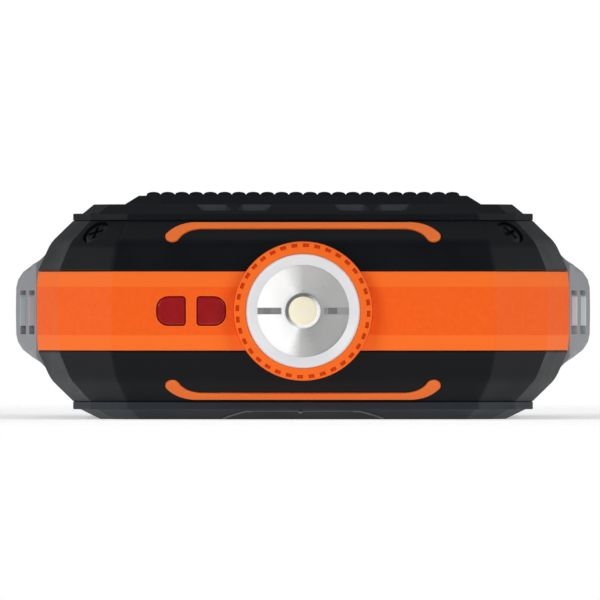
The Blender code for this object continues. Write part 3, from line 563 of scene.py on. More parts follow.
def rubber(name, colour):
    """Matt rubber with a dusty bloom."""
    material, tree, shader, place = start_material(name, 0.8, specular=0.16)
    dust = remap(tree, noise(tree, place, 0.004, 5.0), 0.4, 0.75, 0.0, 0.5)
    base = mix_colours(tree, dust, colour, lighter(colour, 1.9))
    link(base, shader.inputs["Base Color"])
    link(remap(tree, dust, 0.0, 0.5, 0.7, 0.88), shader.inputs["Roughness"])
    bump(tree, shader, noise(tree, place, 0.00025, 3.0), 0.00003, 0.6)
    return material


def even_material(name, colour, tones, size, detail, sheen, depth, strength, metallic=0.0,
                  specular=0.5, coat=0.0, stretch=None):
    """Material whose tone, sheen and relief all follow one noise."""
    material, tree, shader, place = start_material(name, sheen[0], metallic, specular, coat)
    pattern = noise(tree, place, size, detail, stretch)
    tone = mix_colours(tree, pattern, *[lighter(colour, amount) for amount in tones])
    link(tone, shader.inputs["Base Color"])
    link(remap(tree, pattern, 0.3, 0.7, *sheen), shader.inputs["Roughness"])
    bump(tree, shader, pattern, depth, strength)
    return material, shader


def metal(name, colour, roughness, brush=(1.0, 1.0, 12.0)):
    """Metal with brushing along one way and small stains."""
    sheen = (roughness * 0.8, roughness * 1.3)
    return even_material(name, colour, (0.85, 1.05), 0.002, 4.0, sheen, 0.000006, 0.5,
                         metallic=1.0, stretch=brush)[0]


def reflector_painted_reflection(name):
    """Metallised cone whose colour is a painted reflection, bright on one side and greyer round the
    other by angle about its axis, and which glows faintly in the same tones.
    """
    material, tree, shader, place = start_material(name, 0.3, 0.1, specular=0.3)
    mapping = node(tree, "ShaderNodeMapping", vector_type="POINT")
    put(mapping, Location=(0.0, BAND_Z, 0.0), Rotation=(math.pi / 2, 0.0, 0.0))
    link(place, mapping.inputs["Vector"])
    around = node(tree, "ShaderNodeTexGradient", gradient_type="RADIAL")
    link(mapping.outputs["Vector"], around.inputs["Vector"])
    ramp = node(tree, "ShaderNodeValToRGB")
    link(around.outputs["Fac"], ramp.inputs["Fac"])
    # Greys round the axis: a painted reflection, bright on the left and grey on the right.
    stops = ((0.0, 0.97), (0.17, 0.97), (0.25, 0.44), (0.38, 0.32), (0.55, 0.26), (0.70, 0.26),
             (0.76, 0.40), (0.81, 0.97), (1.0, 0.97))
    elements = ramp.color_ramp.elements
    while len(elements) < len(stops):
        elements.new(0.5)
    for element, (position, grey) in zip(elements, stops):
        element.position = position
        element.color = (grey, grey, grey * 1.005, 1.0)
    link(ramp.outputs["Color"], shader.inputs["Base Color"])
    # The painted reflection also drives a faint glow.
    link(ramp.outputs["Color"], shader.inputs["Emission Color"])
    put(shader, Emission_Strength=0.40)
    peel = noise(tree, place, 0.0015, 2.0)
    link(remap(tree, peel, 0.3, 0.7, 0.26, 0.36), shader.inputs["Roughness"])
    bump(tree, shader, peel, 0.00001, 0.3)
    return material


def collar_painted_shade_and_highlight(name):
    """Turned collar with painted shade on the upper left of its slope and a painted highlight on
    the lower right, which also glows on its bright side.
    """
    material, tree, shader, place = start_material(name, 0.3, 0.2)
    direction = node(tree, "ShaderNodeVectorMath", operation="DOT_PRODUCT")
    link(place, direction.inputs[0])
    direction.inputs[1].default_value = (math.sqrt(0.5), 0.0, -math.sqrt(0.5))
    middle = -BAND_Z * math.sqrt(0.5)
    reach = 1.2 * MM
    across = remap(tree, direction.outputs["Value"], middle - reach, middle + reach, 0.0, 1.0)
    tone = mix_colours(tree, across, (0.10, 0.11, 0.11), (0.97, 0.97, 0.98))
    link(tone, shader.inputs["Base Color"])
    # The painted highlight also glows: a painted glow.
    glow = combine_values(tree, "MULTIPLY", across, 0.25)
    put(shader, Emission_Color=(1.0, 1.0, 1.0, 1.0))
    link(glow, shader.inputs["Emission Strength"])
    turned_marks = noise(tree, place, 0.0004, 2.0)
    link(remap(tree, turned_marks, 0.3, 0.7, 0.25, 0.38), shader.inputs["Roughness"])
    bump(tree, shader, turned_marks, 0.000004, 0.3)
    return material


def phosphor(name, colour, glow):
    """Waxy phosphor with fine grains and a faint glow."""
    material, shader = even_material(name, colour, (0.92, 1.0), 0.00025, 4.0, (0.38, 0.55),
                                     0.00003, 0.5)
    put(shader, Emission_Color=(*colour, 1.0), Emission_Strength=glow)
    return material


def clear_plastic(name, colour, alpha, roughness=0.04):
    """Thin clear sheet with the faintest smear."""
    material, shader = even_material(name, colour, (0.97, 1.0), 0.004, 3.0,
                                     (roughness, roughness * 2.5), 0.000002, 0.2)
    put(shader, Alpha=alpha)
    return material


def tinted_plastic(name, colour, roughness=0.18, coat=0.25):
    """Deep coloured lens plastic with flow marks under a glossy skin."""
    material, shader = even_material(name, colour, (0.85, 1.15), 0.0022, 3.0,
                                     (roughness * 0.8, roughness * 1.4), 0.00001, 0.3,
                                     specular=0.4, coat=coat)
    put(shader, Coat_Roughness=0.08, Subsurface_Weight=0.15,
        Subsurface_Radius=(0.002, 0.0003, 0.0003))
    return material


def satin(name, colour):
    """Satin grey of the rib pits and the contact strips, where the grey is painted shade, painted
    light and painted reflection.
    """
    return plastic(name, colour, 0.5, edge_wear_and_highlight=1.1, specular=0.2)


BLACK = (0.0032, 0.0042, 0.0058)
COVER = (0.0045, 0.0058, 0.0078)

finishes = {
    "case_black": plastic("case_black", BLACK, 0.42, edge_wear_and_highlight=4.0, specular=0.14),
    "cover_black": plastic("cover_black", COVER, 0.48, edge_wear_and_highlight=4.0, specular=0.11),
    "base_grey": plastic("base_grey", (0.017, 0.021, 0.027), 0.5, edge_wear_and_highlight=1.6, specular=0.2),
    "band_orange": band_orange("band_orange"),
    "trim_orange": plastic("trim_orange", (0.89, 0.182, 0.034), 0.5, edge_wear_and_highlight=1.15, specular=0.12),
    "ring_orange": plastic("ring_orange", (0.97, 0.152, 0.013), 0.45, edge_wear_and_highlight=1.15, specular=0.15),
    "button_orange": plastic("button_orange", (0.84, 0.13, 0.02), 0.45, edge_wear_and_highlight=1.2),
    "pad_rubber": rubber("pad_rubber", (0.003, 0.004, 0.0052)),
    "seal_rubber": rubber("seal_rubber", (0.008, 0.008, 0.008)),
    "grip_grey": plastic("grip_grey", (0.275, 0.280, 0.290), 0.45, edge_wear_and_highlight=1.2, specular=0.3),
    "carrier_satin": plastic("carrier_satin", (0.80, 0.805, 0.81), 0.4, depth=0.000004, edge_wear_and_highlight=1.05),
    "clear_lens": clear_plastic("clear_lens", (0.96, 0.97, 0.98), 0.06),
    # This finish paints a reflection and a faint glow into the cone.
    "reflector_bright": reflector_painted_reflection("reflector_bright"),
    "barrel_black": plastic("barrel_black", (0.015, 0.015, 0.017), 0.6),
    "led_phosphor": phosphor("led_phosphor", (0.89, 0.82, 0.60), 0.5),
    "board_aluminium": metal("board_aluminium", (0.8, 0.8, 0.8), 0.35),
    "sink_aluminium": metal("sink_aluminium", (0.62, 0.63, 0.65), 0.3, (1.0, 12.0, 1.0)),
    "signal_red": tinted_plastic("signal_red", (0.315, 0.0045, 0.007), coat=0.08),
    "board_green": plastic("board_green", (0.01, 0.10, 0.035), 0.35, 0.0006, 0.00001, 1.4),
    "switch_black": plastic("switch_black", (0.03, 0.03, 0.03), 0.4),
    "window_frosted": tinted_plastic("window_frosted", (0.42, 0.44, 0.45), 0.4, coat=0.0),
    "cell_wrap": tinted_plastic("cell_wrap", (0.02, 0.10, 0.33), 0.25),
    "cradle_black": plastic("cradle_black", (0.02, 0.02, 0.02), 0.6),
    "strap_nickel": metal("strap_nickel", (0.62, 0.60, 0.55), 0.3, (12.0, 1.0, 1.0)),
    "socket_steel": metal("socket_steel", (0.60, 0.60, 0.62), 0.28, (12.0, 1.0, 1.0)),
    "pin_steel": metal("pin_steel", (0.6, 0.6, 0.62), 0.25, (12.0, 1.0, 1.0)),
    "screw_black": metal("screw_black", (0.028, 0.030, 0.033), 0.42, (1.0, 1.0, 1.0)),
}

# Darker orange in the ring's dimples: painted shade inside the recesses.
pit_orange_painted_shade = plastic("pit_orange_painted_shade", (0.72, 0.055, 0.008), 0.6, edge_wear_and_highlight=1.0, specular=0.1)
louvre_grey = plastic("louvre_grey", (0.026, 0.030, 0.036), 0.5, edge_wear_and_highlight=1.6)
moulded_line = plastic("moulded_line", (0.12, 0.128, 0.138), 0.45, edge_wear_and_highlight=1.3)
# Contact strip and pad greys, different on the left and right: painted reflection.
left_strip_painted_reflection = satin("left_strip_painted_reflection", (0.22, 0.225, 0.225))
left_pad_painted_reflection = satin("left_pad_painted_reflection", (0.16, 0.165, 0.165))
right_strip_painted_reflection = satin("right_strip_painted_reflection", (0.29, 0.295, 0.30))
right_pad_painted_reflection = satin("right_pad_painted_reflection", (0.085, 0.088, 0.092))
# The same grey ribs, painted darker on the left grip and lighter on the right: painted shade and
# painted highlight.
rib_left_painted_shade = plastic("rib_left_painted_shade", (0.40, 0.43, 0.45), 0.4, edge_wear_and_highlight=1.15)
rib_right_painted_highlight = plastic("rib_right_painted_highlight", (0.62, 0.68, 0.71), 0.4, edge_wear_and_highlight=1.1)
# Pit greys: painted shade below and above the left grip's ribs, painted light on the right grip's.
pit_dark_painted_shade = satin("pit_dark_painted_shade", (0.19, 0.195, 0.20))
pit_mid_painted_shade = satin("pit_mid_painted_shade", (0.26, 0.265, 0.27))
pit_light_painted_light = satin("pit_light_painted_light", (0.33, 0.335, 0.345))
ceramic = plastic("ceramic", (0.75, 0.76, 0.75), 0.4, edge_wear_and_highlight=1.05)
# Near-black for screw recesses, cross slots and window marks: painted shade in the cuts.
recess_painted_shade = plastic("recess_painted_shade", (0.003, 0.003, 0.003), 0.7, edge_wear_and_highlight=1.2, specular=0.1)

slots = {entry["node"]: entry["material_slot"] for entry in frame["record"]["subparts"]}
bodies = frame["record"]["behaviour"]["bodies"]
body_of = {name: body for body, names in bodies.items() for name in names}


def stand_for(piece, name, *extra_materials, angle=32.0):
    """Finish a piece and let it take the place of a CAD node."""
    indices = [face.material_index for face in piece.data.polygons]
    piece.data.materials.clear()
    piece.data.materials.append(finishes[slots[name]])
    for material in extra_materials:
        piece.data.materials.append(material)
    piece.data.polygons.foreach_set("material_index", indices)
    shade(piece, angle)
    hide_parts(name)
    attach(piece, body_of[name])
    shown[name] = piece
    return piece


# ---------------------------------------------------------------- case outline

def facet_planes():
    """Angle from +Y and distance from the middle, for the facets of one quarter."""
    planes = []
    x = 0.0
    y = HALF_LENGTH
    for angle, corner_x in zip(FACET_ANGLES, (END_FLAT, FACET_BREAK, HALF_WIDTH)):
        distance = x * math.sin(angle) + y * math.cos(angle)
        planes.append((angle, distance))
        y = (distance - corner_x * math.sin(angle)) / math.cos(angle)
        x = corner_x
    planes.append((FACET_ANGLES[-1], HALF_WIDTH))
    return planes


def case_outline(inset, radius):
    """Outline of the case from above, drawn in by inset, its corners a little rounded."""
    planes = [(angle, distance - inset) for angle, distance in facet_planes()]
    quarter = []
    for (a1, d1), (a2, d2) in zip(planes, planes[1:]):
        det = math.sin(a1 - a2)
        quarter.append(((d1 * math.cos(a2) - d2 * math.cos(a1)) / det,
                        (math.sin(a1) * d2 - math.sin(a2) * d1) / det))
    rear = list(reversed(quarter)) + [(-x, y) for x, y in quarter]
    corners = rear + [(-x, -y) for x, y in rear]
    return fillet([(x, MID_Y + y) for x, y in corners], radius)


def case_loops(section, radius):
    """Loops of the case outline at each (inset, z) of a section."""
    return [[(p.x, p.y, z) for p in case_outline(inset, radius)] for inset, z in section]


def octagon_loop(half_x, half_y, corner, z, radius):
    """Rectangle with cut corners about the middle of the case."""
    quarter = [(half_x, half_y - corner), (half_x - corner, half_y)]
    rear = quarter + [(-x, y) for x, y in reversed(quarter)]
    corners = rear + [(-x, -y) for x, y in rear]
    return [(p.x, MID_Y + p.y, z) for p in fillet(corners, radius)]


# ---------------------------------------------------------------- case shells

def slope_frame(lower, rear):
    """Frame on the middle of an end slope: Y up the slope, Z outwards."""
    lean = math.atan2(EDGE_H - SHOULDER_H, EDGE_INSET - SHOULDER_INSET)
    frame_at = at(0.0, -HALF_LENGTH + SHOULDER_INSET, SHOULDER_H)
    frame_at = frame_at @ turned(lean, "X")
    if lower:
        frame_at = turned(math.pi, "Y") @ frame_at
    if rear:
        frame_at = turned(math.pi, "Z") @ frame_at
    return at(0.0, MID_Y, BAND_Z) @ frame_at


def trim_outline(grow):
    """Bar with both ends curving down the slope and widening to round tips."""
    tip = Vector((20.4, 1.3)) * MM
    bend = Vector((18.9, 3.7)) * MM
    straight = Vector((16.0, 3.7)) * MM
    tip_half = 1.1 * MM
    bar_half = 0.66 * MM
    steps = 14
    outer = []
    inner = []
    for i in range(steps + 1):
        t = i / steps
        point = tip * (1 - t) ** 2 + bend * 2 * t * (1 - t) + straight * t * t
        along = (bend - tip) * (1 - t) + (straight - bend) * t
        across = Vector((along.y, -along.x)).normalized()
        half = tip_half + (bar_half - tip_half) * t + grow
        outer.append(point + across * half)
        inner.append(point - across * half)
    start = inner[0] - tip
    cap = [tip + Matrix.Rotation(math.pi * i / 12, 2) @ start for i in range(1, 12)]
    half_outline = list(reversed(inner)) + cap + outer
    mirrored = [Vector((-p.x, p.y)) for p in reversed(half_outline)]
    return half_outline + mirrored


def corner_screw_frame(side, end):
    """Frame on a corner facet's slope, Z outwards."""
    angle, distance = facet_planes()[1]
    slope = math.atan2(EDGE_INSET - SHOULDER_INSET, EDGE_H - SHOULDER_H)
    inset = SHOULDER_INSET + (CORNER_SCREW_H - SHOULDER_H) * math.tan(slope)
    y = (distance - inset - CORNER_SCREW_X * math.sin(angle)) / math.cos(angle)
    outward = Vector((side * math.sin(angle), end * math.cos(angle), 0.0))
    normal = outward * math.cos(slope) + Vector((0, 0, math.sin(slope)))
    foot = Vector((side * CORNER_SCREW_X, MID_Y + end * y, BAND_Z + CORNER_SCREW_H))
    return Matrix.Translation(foot) @ normal.to_track_quat("Z", "Y").to_matrix().to_4x4()


SCREW_CORNERS = {
    f"{end_name}_{side_name}": (side, end)
    for end, end_name in ((-1, "front"), (1, "rear"))
    for side, side_name in ((-1, "left"), (1, "right"))
}


def lamp_outline(name, grow):
    """Outline of a signal lamp, rounder on the side away from its twin."""
    low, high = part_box(name)
    size = 4.55 * MM + 2 * grow
    wide = 1.85 * MM + grow
    tight = 0.5 * MM + grow
    outer = low.x + high.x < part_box("signal_lens_inner")[0].x * 2
    radii = (tight, wide, wide, tight) if outer else (wide, tight, tight, wide)
    centre = at((low.x + high.x) / 2, FRONT_Y, BAND_Z)
    return rounded_rectangle(size, size, radii), centre @ turned(math.pi / 2, "X")


def lamp_window(name):
    """Cutter for a signal lamp's window."""
    outline, place = lamp_outline(name, LAMP_GAP)
    return prism("window", outline, -6.0 * MM, 1.0 * MM, matrix=place)


def lamp_rim(name):
    """Cutter for the chamfer round a signal lamp's window."""
    outer, place = lamp_outline(name, LAMP_GAP + 0.2 * MM)
    inner = lamp_outline(name, LAMP_GAP - 0.1 * MM)[0]
    rim = skin("window_rim", [[(p.x, p.y, 0.2 * MM) for p in outer],
                              [(p.x, p.y, -0.22 * MM) for p in inner]])
    rim.data.transform(place)
    return rim


def shell(name, side):
    """Half of the case: a hollow shell, rounded where the wall leans in to the cover."""
    opening = 9.0 * MM
    section = [
        (opening, CEILING_H), (CEILING_INSET, CEILING_H), (WALL_INSET, 9.8 * MM),
        (WALL_INSET, SPLIT), (BAND_GROOVE, SPLIT), (BAND_GROOVE, BAND_HALF + LIP_GAP),
        (LIP_INSET, BAND_HALF + LIP_GAP), (SHOULDER_INSET, SHOULDER_H),
        (EDGE_INSET, EDGE_H), (opening, EDGE_H),
    ]
    radii = [r * MM for r in (0, 0.3, 1.0, 0.1, 0.1, 0.1, 0.22, 5.5, 0.35, 0)]
    path = fillet(section, radii, steps=5)
    piece = skin(name + "_skin", case_loops([(i, BAND_Z + side * h) for i, h in path],
                                            FACET_RADIUS))
    front, back = [TORCH @ Vector((0, 0, z)) for z in (3 * MM, -POCKET_DEPTH)]
    tools = [rod("pocket", front, back, POCKET_RADIUS, 96)]
    tools += [lamp_window(lamp) for lamp in ("signal_lens_outer", "signal_lens_inner")]
    tools.append(box_between(
        "port", (-PORT_HALF_X, REAR_Y - PORT_DEPTH, BAND_Z - PORT_HALF_Z),
        (PORT_HALF_X, REAR_Y + MM, BAND_Z + PORT_HALF_Z)))
    for rear in (False, True):
        tools.append(prism("trim_pocket", trim_outline(TRIM_FIT), -0.8 * MM, 1.5 * MM,
                           matrix=slope_frame(side < 0, rear)))
    for side_x in (-1, 1):
        tools.append(box_between(
            "grip_pocket",
            (side_x * 39.6 * MM, grip_low.y - GRIP_SLACK, BAND_Z + side * 6.2 * MM),
            (side_x * GRIP_REACH, grip_high.y + GRIP_SLACK, BAND_Z + side * 9.7 * MM)))
    if side > 0:
        x, y = button_centre()
        tools.append(rod("stem_hole", (x, y, 28.5 * MM), (x, y, 32.0 * MM), STEM_RADIUS))
        tools.append(window_slot())
        for corner in SCREW_CORNERS.values():
            place = corner_screw_frame(*corner)
            # Screw recesses take the painted shade.
            tools.append(finish_slot(rod("recess", place @ Vector((0, 0, 2 * MM)),
                                          place @ Vector((0, 0, -1.4 * MM)), SCREW_SEAT, 40)))
    carve(piece, tools)
    stand_for(piece, name, recess_painted_shade)


def bumper_band():
    """Orange band with a flat strip between two shallow bevels."""
    section = [(BAND_BEVEL, BAND_HALF), (0.0, BAND_STRIP), (0.0, -BAND_STRIP),
               (BAND_BEVEL, -BAND_HALF), (BAND_THICK, -BAND_HALF), (BAND_THICK, BAND_HALF)]
    radii = [r * MM for r in (0.22, 0.3, 0.3, 0.22, 0.1, 0.1)]
    path = fillet(section, radii)
    loops = case_loops([(i, BAND_Z + h) for i, h in path], FACET_RADIUS)
    piece = skin("bumper_band_skin", loops, ring=True)
    flare = [(POCKET_RADIUS + 0.4 * MM, 0.35 * MM), (POCKET_RADIUS, -0.05 * MM),
             (POCKET_RADIUS, -POCKET_DEPTH), (0.0, -POCKET_DEPTH)]
    tools = [lathe("pocket", [(0.0, 0.35 * MM)] + flare, TORCH, closed=False)]
    for lamp in ("signal_lens_outer", "signal_lens_inner"):
        tools += [lamp_window(lamp), lamp_rim(lamp)]
    for side in (-1, 1):
        tools.append(box_between(
            "side", (side * 40.6 * MM, grip_low.y - GRIP_SLACK, BAND_Z - 6.6 * MM),
            (side * GRIP_REACH, grip_high.y + GRIP_SLACK, BAND_Z + 6.6 * MM)))
    way = rounded_rectangle(door_high.x - door_low.x + 0.4 * MM, 11.5 * MM, 0.35 * MM)
    back = at(0, REAR_Y, BAND_Z) @ turned(math.pi / 2, "X")
    tools.append(prism("door_way", way, -1.0 * MM, 2.4 * MM, matrix=back))
    carve(piece, tools)
    stand_for(piece, "bumper_band", angle=15.0)


def trims():
    """Orange inlays in the four end slopes."""
    for end in ("front", "rear"):
        for level in ("upper", "lower"):
            name = f"{end}_{level}_trim"
            place = slope_frame(level == "lower", end == "rear")
            piece = prism(name + "_inlay", trim_outline(0.0), -0.5 * MM, 0.3 * MM, 0.22 * MM, place)
            stand_for(piece, name)


# ---------------------------------------------------------------- covers

def louvre(index):
    """Slanted recess in the front wall of the top cover."""
    centre = (-13.95, -7.6, 7.6, 13.95)[index] * MM
    lean = (0.45, -0.45)[index % 2] * MM
    half = 2.35 * MM
    low = 32.64 * MM
    high = 33.62 * MM
    outline = [(centre - half + lean, low), (centre + half + lean, low),
               (centre + half - lean, high), (centre - half - lean, high)]
    place = at(0, FRONT_Y + 9.0 * MM, 0) @ turned(math.pi / 2, "X")
    return finish_slot(prism("louvre", fillet(outline, 0.12 * MM), 0.0, 3.0 * MM, matrix=place))


def block_loop(inset, z):
    """Loop of the raised block, drawn in by inset at height z."""
    return octagon_loop(27.9 * MM - inset, HALF_LENGTH - 9.0 * MM - 0.59 * inset,
                        5.7 * MM - 0.59 * inset, z, 0.5 * MM)


def top_cover():
    """Cover with a thin ledge, a sloping plateau and a raised block that holds the pad."""
    foot = cover_low.z - 0.17 * MM
    section = [(12 * MM, foot), (LEDGE_INSET, foot), (LEDGE_INSET, TOP_LEDGE_Z),
               (7.18 * MM, TOP_LEDGE_Z), (8.94 * MM, PLATEAU_Z), (14 * MM, PLATEAU_Z)]
    radii = [r * MM for r in (0, 0.12, 0.16, 0.2, 0.35, 0)]
    piece = skin("top_cover_skin", case_loops(fillet(section, radii), COVER_RADIUS))
    rise = [(0.0, 32.8 * MM), (0.0, PLATEAU_Z), (2.2 * MM, BLOCK_Z), (5.0 * MM, BLOCK_Z)]
    path = fillet(rise, [0, 0.2 * MM, 0.4 * MM, 0])
    carve(piece, [skin("block", [block_loop(inset, z) for inset, z in path])], "UNION")
    half_x = pad_high.x + FIT
    half_y = (pad_high.y - pad_low.y) / 2 + FIT
    pocket = skin("pad_pocket", [octagon_loop(half_x, half_y, PAD_CORNER, z, 0.4 * MM)
                                 for z in (pad_low.z - 0.3 * MM, pad_high.z + MM)])
    tools = [pocket] + [louvre(i) for i in range(4)] + [button_mouth(), window_slot()]
    carve(piece, tools)
    stand_for(piece, "top_cover", louvre_grey)


def button_mouth():
    """Cutter for the round opening above the button's flange."""
    x, y = button_centre()
    return rod("mouth", (x, y, 32.4 * MM), (x, y, CUT_HIGH), BUTTON_MOUTH, 64)


def button_centre():
    return (button_low.x + button_high.x) / 2, (button_low.y + button_high.y) / 2


def window_slot():
    """Cutter for the charge window's opening."""
    middle = (window_low + window_high) / 2
    outline = rounded_rectangle(16.5 * MM, 3.1 * MM, 1.5 * MM)
    return prism("slot", outline, CUT_LOW, CUT_HIGH, matrix=at(middle.x, middle.y, 0))


def rib_spans(x, half_y):
    """Stretches of a rib along Y, clear of the button and the charge window."""
    gaps = []
    button_x, button_y = button_centre()
    if abs(x - button_x) < BUTTON_CLEAR:
        reach = math.sqrt(BUTTON_CLEAR ** 2 - (x - button_x) ** 2)
        gaps.append((button_y - reach, button_y + reach))
    window_y = (window_low.y + window_high.y) / 2
    if abs(x) < WINDOW_CLEAR_X:
        gaps.append((window_y - WINDOW_CLEAR_Y, window_y + WINDOW_CLEAR_Y))
    spans = []
    start = MID_Y - half_y
    for low, high in sorted(gaps):
        if low > start + MM:
            spans.append((start, low))
        start = max(start, high)
    spans.append((start, MID_Y + half_y))
    return spans


def rib(x, width, low, high, start, end):
    """Half-round rib along Y with rounded ends."""
    loops = []
    nose = 0.55 * MM
    for end_y, inward in ((start, 1), (end, -1)):
        stations = []
        for i in range(5):
            a = math.radians(8 + 82 * i / 4)
            stations.append((end_y + inward * nose * (1 - math.cos(a)), math.sin(a)))
        if inward < 0:
            stations.reverse()
        for y, scale in stations:
            arch = []
            for i in range(13):
                a = math.pi * i / 12
                arch.append((x + width / 2 * math.cos(a) * (0.6 + 0.4 * scale), y,
                             low + (high - low) * math.sin(a) * scale))
            loops.append([(arch[0][0], y, low - 0.3 * MM)] + arch
                         + [(arch[-1][0], y, low - 0.3 * MM)])
    return skin("rib", loops)


def grip_pad():
    """Rubber pad with rounded ribs along the case, which stop short of the controls."""
    half_x = pad_high.x
    half_y = (pad_high.y - pad_low.y) / 2
    floor = 35.2 * MM
    path = fillet([(0.0, pad_low.z), (0.0, floor), (1.5 * MM, floor)], [0, 0.2 * MM, 0])
    loops = [octagon_loop(half_x - i, half_y - i, PAD_CORNER, z, 0.4 * MM) for i, z in path]
    piece = skin("grip_pad_skin", loops)
    carve(piece, [button_mouth(), window_slot()])
    pitch = 2 * half_x / RIBS
    ribs = []
    for i in range(RIBS):
        x = -half_x + (i + 0.5) * pitch
        over = max(0.0, abs(x) + pitch / 2 - (half_x - PAD_CORNER))
        for start, end in rib_spans(x, half_y - over - 0.1 * MM):
            ribs.append(rib(x, pitch * 0.94, floor, pad_high.z, start, end))
    x, y = button_centre()
    ribs.append(turned_piece("collar", [(6.6, 34.9), (6.6, 35.5), (5.75, 35.5), (5.75, 34.9)],
                             [0, 0.18, 0.18, 0], at(x, y, 0), 64))
    combine(piece, ribs)
    stand_for(piece, "grip_pad", angle=40.0)


def base_slope_point(x, z, proud):
    """Point on the front slope of the base cover, moved out by proud."""
    run = BASE_SLOPE_INSET - 6.84 * MM
    y = FRONT_Y + BASE_SLOPE_INSET - run * z / BASE_LEDGE_Z
    out = Vector((0, -BASE_LEDGE_Z, -run)).normalized() * proud
    return Vector((x, y, z)) + out


def base_cover():
    """Lower cover with a sloping skirt, a recessed panel and a moulded line in front."""
    section = [(14 * MM, 0.0), (BASE_SLOPE_INSET, 0.0), (6.84 * MM, BASE_LEDGE_Z),
               (LEDGE_INSET, BASE_LEDGE_Z), (LEDGE_INSET, base_high.z + 0.14 * MM),
               (12 * MM, base_high.z + 0.14 * MM)]
    radii = [r * MM for r in (0, 0.5, 0.2, 0.15, 0.12, 0)]
    piece = skin("base_cover_skin", case_loops(fillet(section, radii), COVER_RADIUS))
    tools = []
    for name in SCREW_CORNERS:
        low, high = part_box("base_screw_" + name)
        middle = (low + high) / 2
        # Screw recesses take the painted shade.
        tools.append(finish_slot(rod("recess", (middle.x, middle.y, -MM),
                                      (middle.x, middle.y, 1.5 * MM), SCREW_SEAT, 40)))
    panel = rounded_rectangle(40 * MM, 100 * MM, 4 * MM)
    tools.append(prism("panel", panel, -MM, 0.35 * MM, matrix=at(0, MID_Y, 0)))
    carve(piece, tools)
    combine(piece, [finish_slot(part, 2) for part in base_line()])
    stand_for(piece, "base_cover", recess_painted_shade, moulded_line)


def base_line():
    """Thin raised line with both ends bending down, and a dot in its middle."""
    sunk = -0.02 * MM
    flat = [base_slope_point(x * LINE_FLAT, LINE_TOP, sunk) for x in (-1, 0, 1)]
    raised = [wire("line", flat, 0.09 * MM)]
    for side in (-1, 1):
        route = []
        for i in range(21):
            fall = max(0.0, i / 16 - 0.25)
            x = side * (LINE_FLAT + LINE_BEND * (i / 16 - 0.25))
            route.append(base_slope_point(x, LINE_TOP - LINE_FALL * fall ** 1.2, sunk))
        raised.append(wire("bend", route, 0.19 * MM))
    raised.append(rod("dot", base_slope_point(-0.4 * MM, 1.24 * MM, -0.2 * MM),
                      base_slope_point(-0.4 * MM, 1.24 * MM, 0.2 * MM), 0.3 * MM, 24))
    return raised


# ---------------------------------------------------------------- torch

def focus_ring():
    """Orange ring with small square dimples round its face."""
    profile = fillet(
        [(RING_BORE, RING_PROUD), (RING_RADIUS, RING_PROUD), (RING_RADIUS, -3.0 * MM),
         (10.0 * MM, -3.0 * MM), (10.0 * MM, -5.0 * MM), (RING_BORE, -5.0 * MM)],
        [0.1 * MM, 0.4 * MM, 0.1 * MM, 0.1 * MM, 0.1 * MM, 0.1 * MM], steps=5)
    piece = lathe("focus_ring_skin", profile, TORCH, 144)
    bm = bmesh.new()
    for i in range(DIMPLES):
        place = turned(math.tau * (i - 0.25) / DIMPLES, "Z")
        place = place @ at(DIMPLE_ORBIT, 0, RING_PROUD)
        bmesh.ops.create_cube(bm, size=1.0, matrix=TORCH @ place @ Matrix.Diagonal(
            (0.56 * MM, 0.92 * MM, 0.5 * MM, 1.0)))
    carve(piece, [finish_slot(from_bmesh("dimples", bm))])
    # The dimple faces take the darker orange, painted shade.
    stand_for(piece, "focus_ring", pit_orange_painted_shade)


def optic_carrier():
    """Pale ring with a dished front that frames the reflector."""
    profile = [(8.55, 1.98), (8.95, 1.85), (8.95, -9.0), (8.2, -9.0), (8.2, 0.9), (7.2, 0.9),
               (7.2, 1.25)]
    radii = [0.25, 0.05, 0.1, 0.1, 0.1, 0.1, 0.12]
    stand_for(turned_piece("optic_carrier_skin", profile, radii), "optic_carrier")


def torch_lens():
    """Flat clear disc with eased edges."""
    profile = [(0, 0.6), (7.9, 0.6), (7.9, -0.6), (0, -0.6)]
    piece = turned_piece("torch_lens_skin", profile, [0, 0.15, 0.15, 0], closed=False)
    stand_for(piece, "torch_lens")


def bowl_radius(t):
    """Radius of the reflector's parabola, from throat (0) to mouth (1)."""
    return math.sqrt(BOWL_THROAT ** 2 + t * (BOWL_MOUTH ** 2 - BOWL_THROAT ** 2))


def bowl_point(t, sink):
    return Vector((bowl_radius(t) + sink, BOWL_BACK + t * (BOWL_FRONT - BOWL_BACK)))


def contact_strip(side):
    """Flat spring strip let into the bowl, with a darker square pad in its middle; the greys of
    strip and pad differ from side to side, a painted reflection.
    """
    strips = []
    slot_base = 1 if side < 0 else 3
    pad_span = (0.40, 0.66) if side < 0 else (0.17, 0.45)
    for first, last, half, sink, slot_index in ((0.08, 0.99, 0.52, 0.10, slot_base),
                                                (*pad_span, 0.5, 0.02, slot_base + 1)):
        loops = []
        for i in range(13):
            t = first + (last - first) * i / 12
            low = bowl_point(t, (sink + 0.35) * MM)
            high = bowl_point(t, sink * MM)
            loops.append([(side * low.x, -half * MM, low.y), (side * low.x, half * MM, low.y),
                          (side * high.x, half * MM, high.y), (side * high.x, -half * MM, high.y)])
        strip = finish_slot(skin("strip", loops), slot_index)
        strip.data.transform(TORCH)
        strips.append(strip)
    return strips


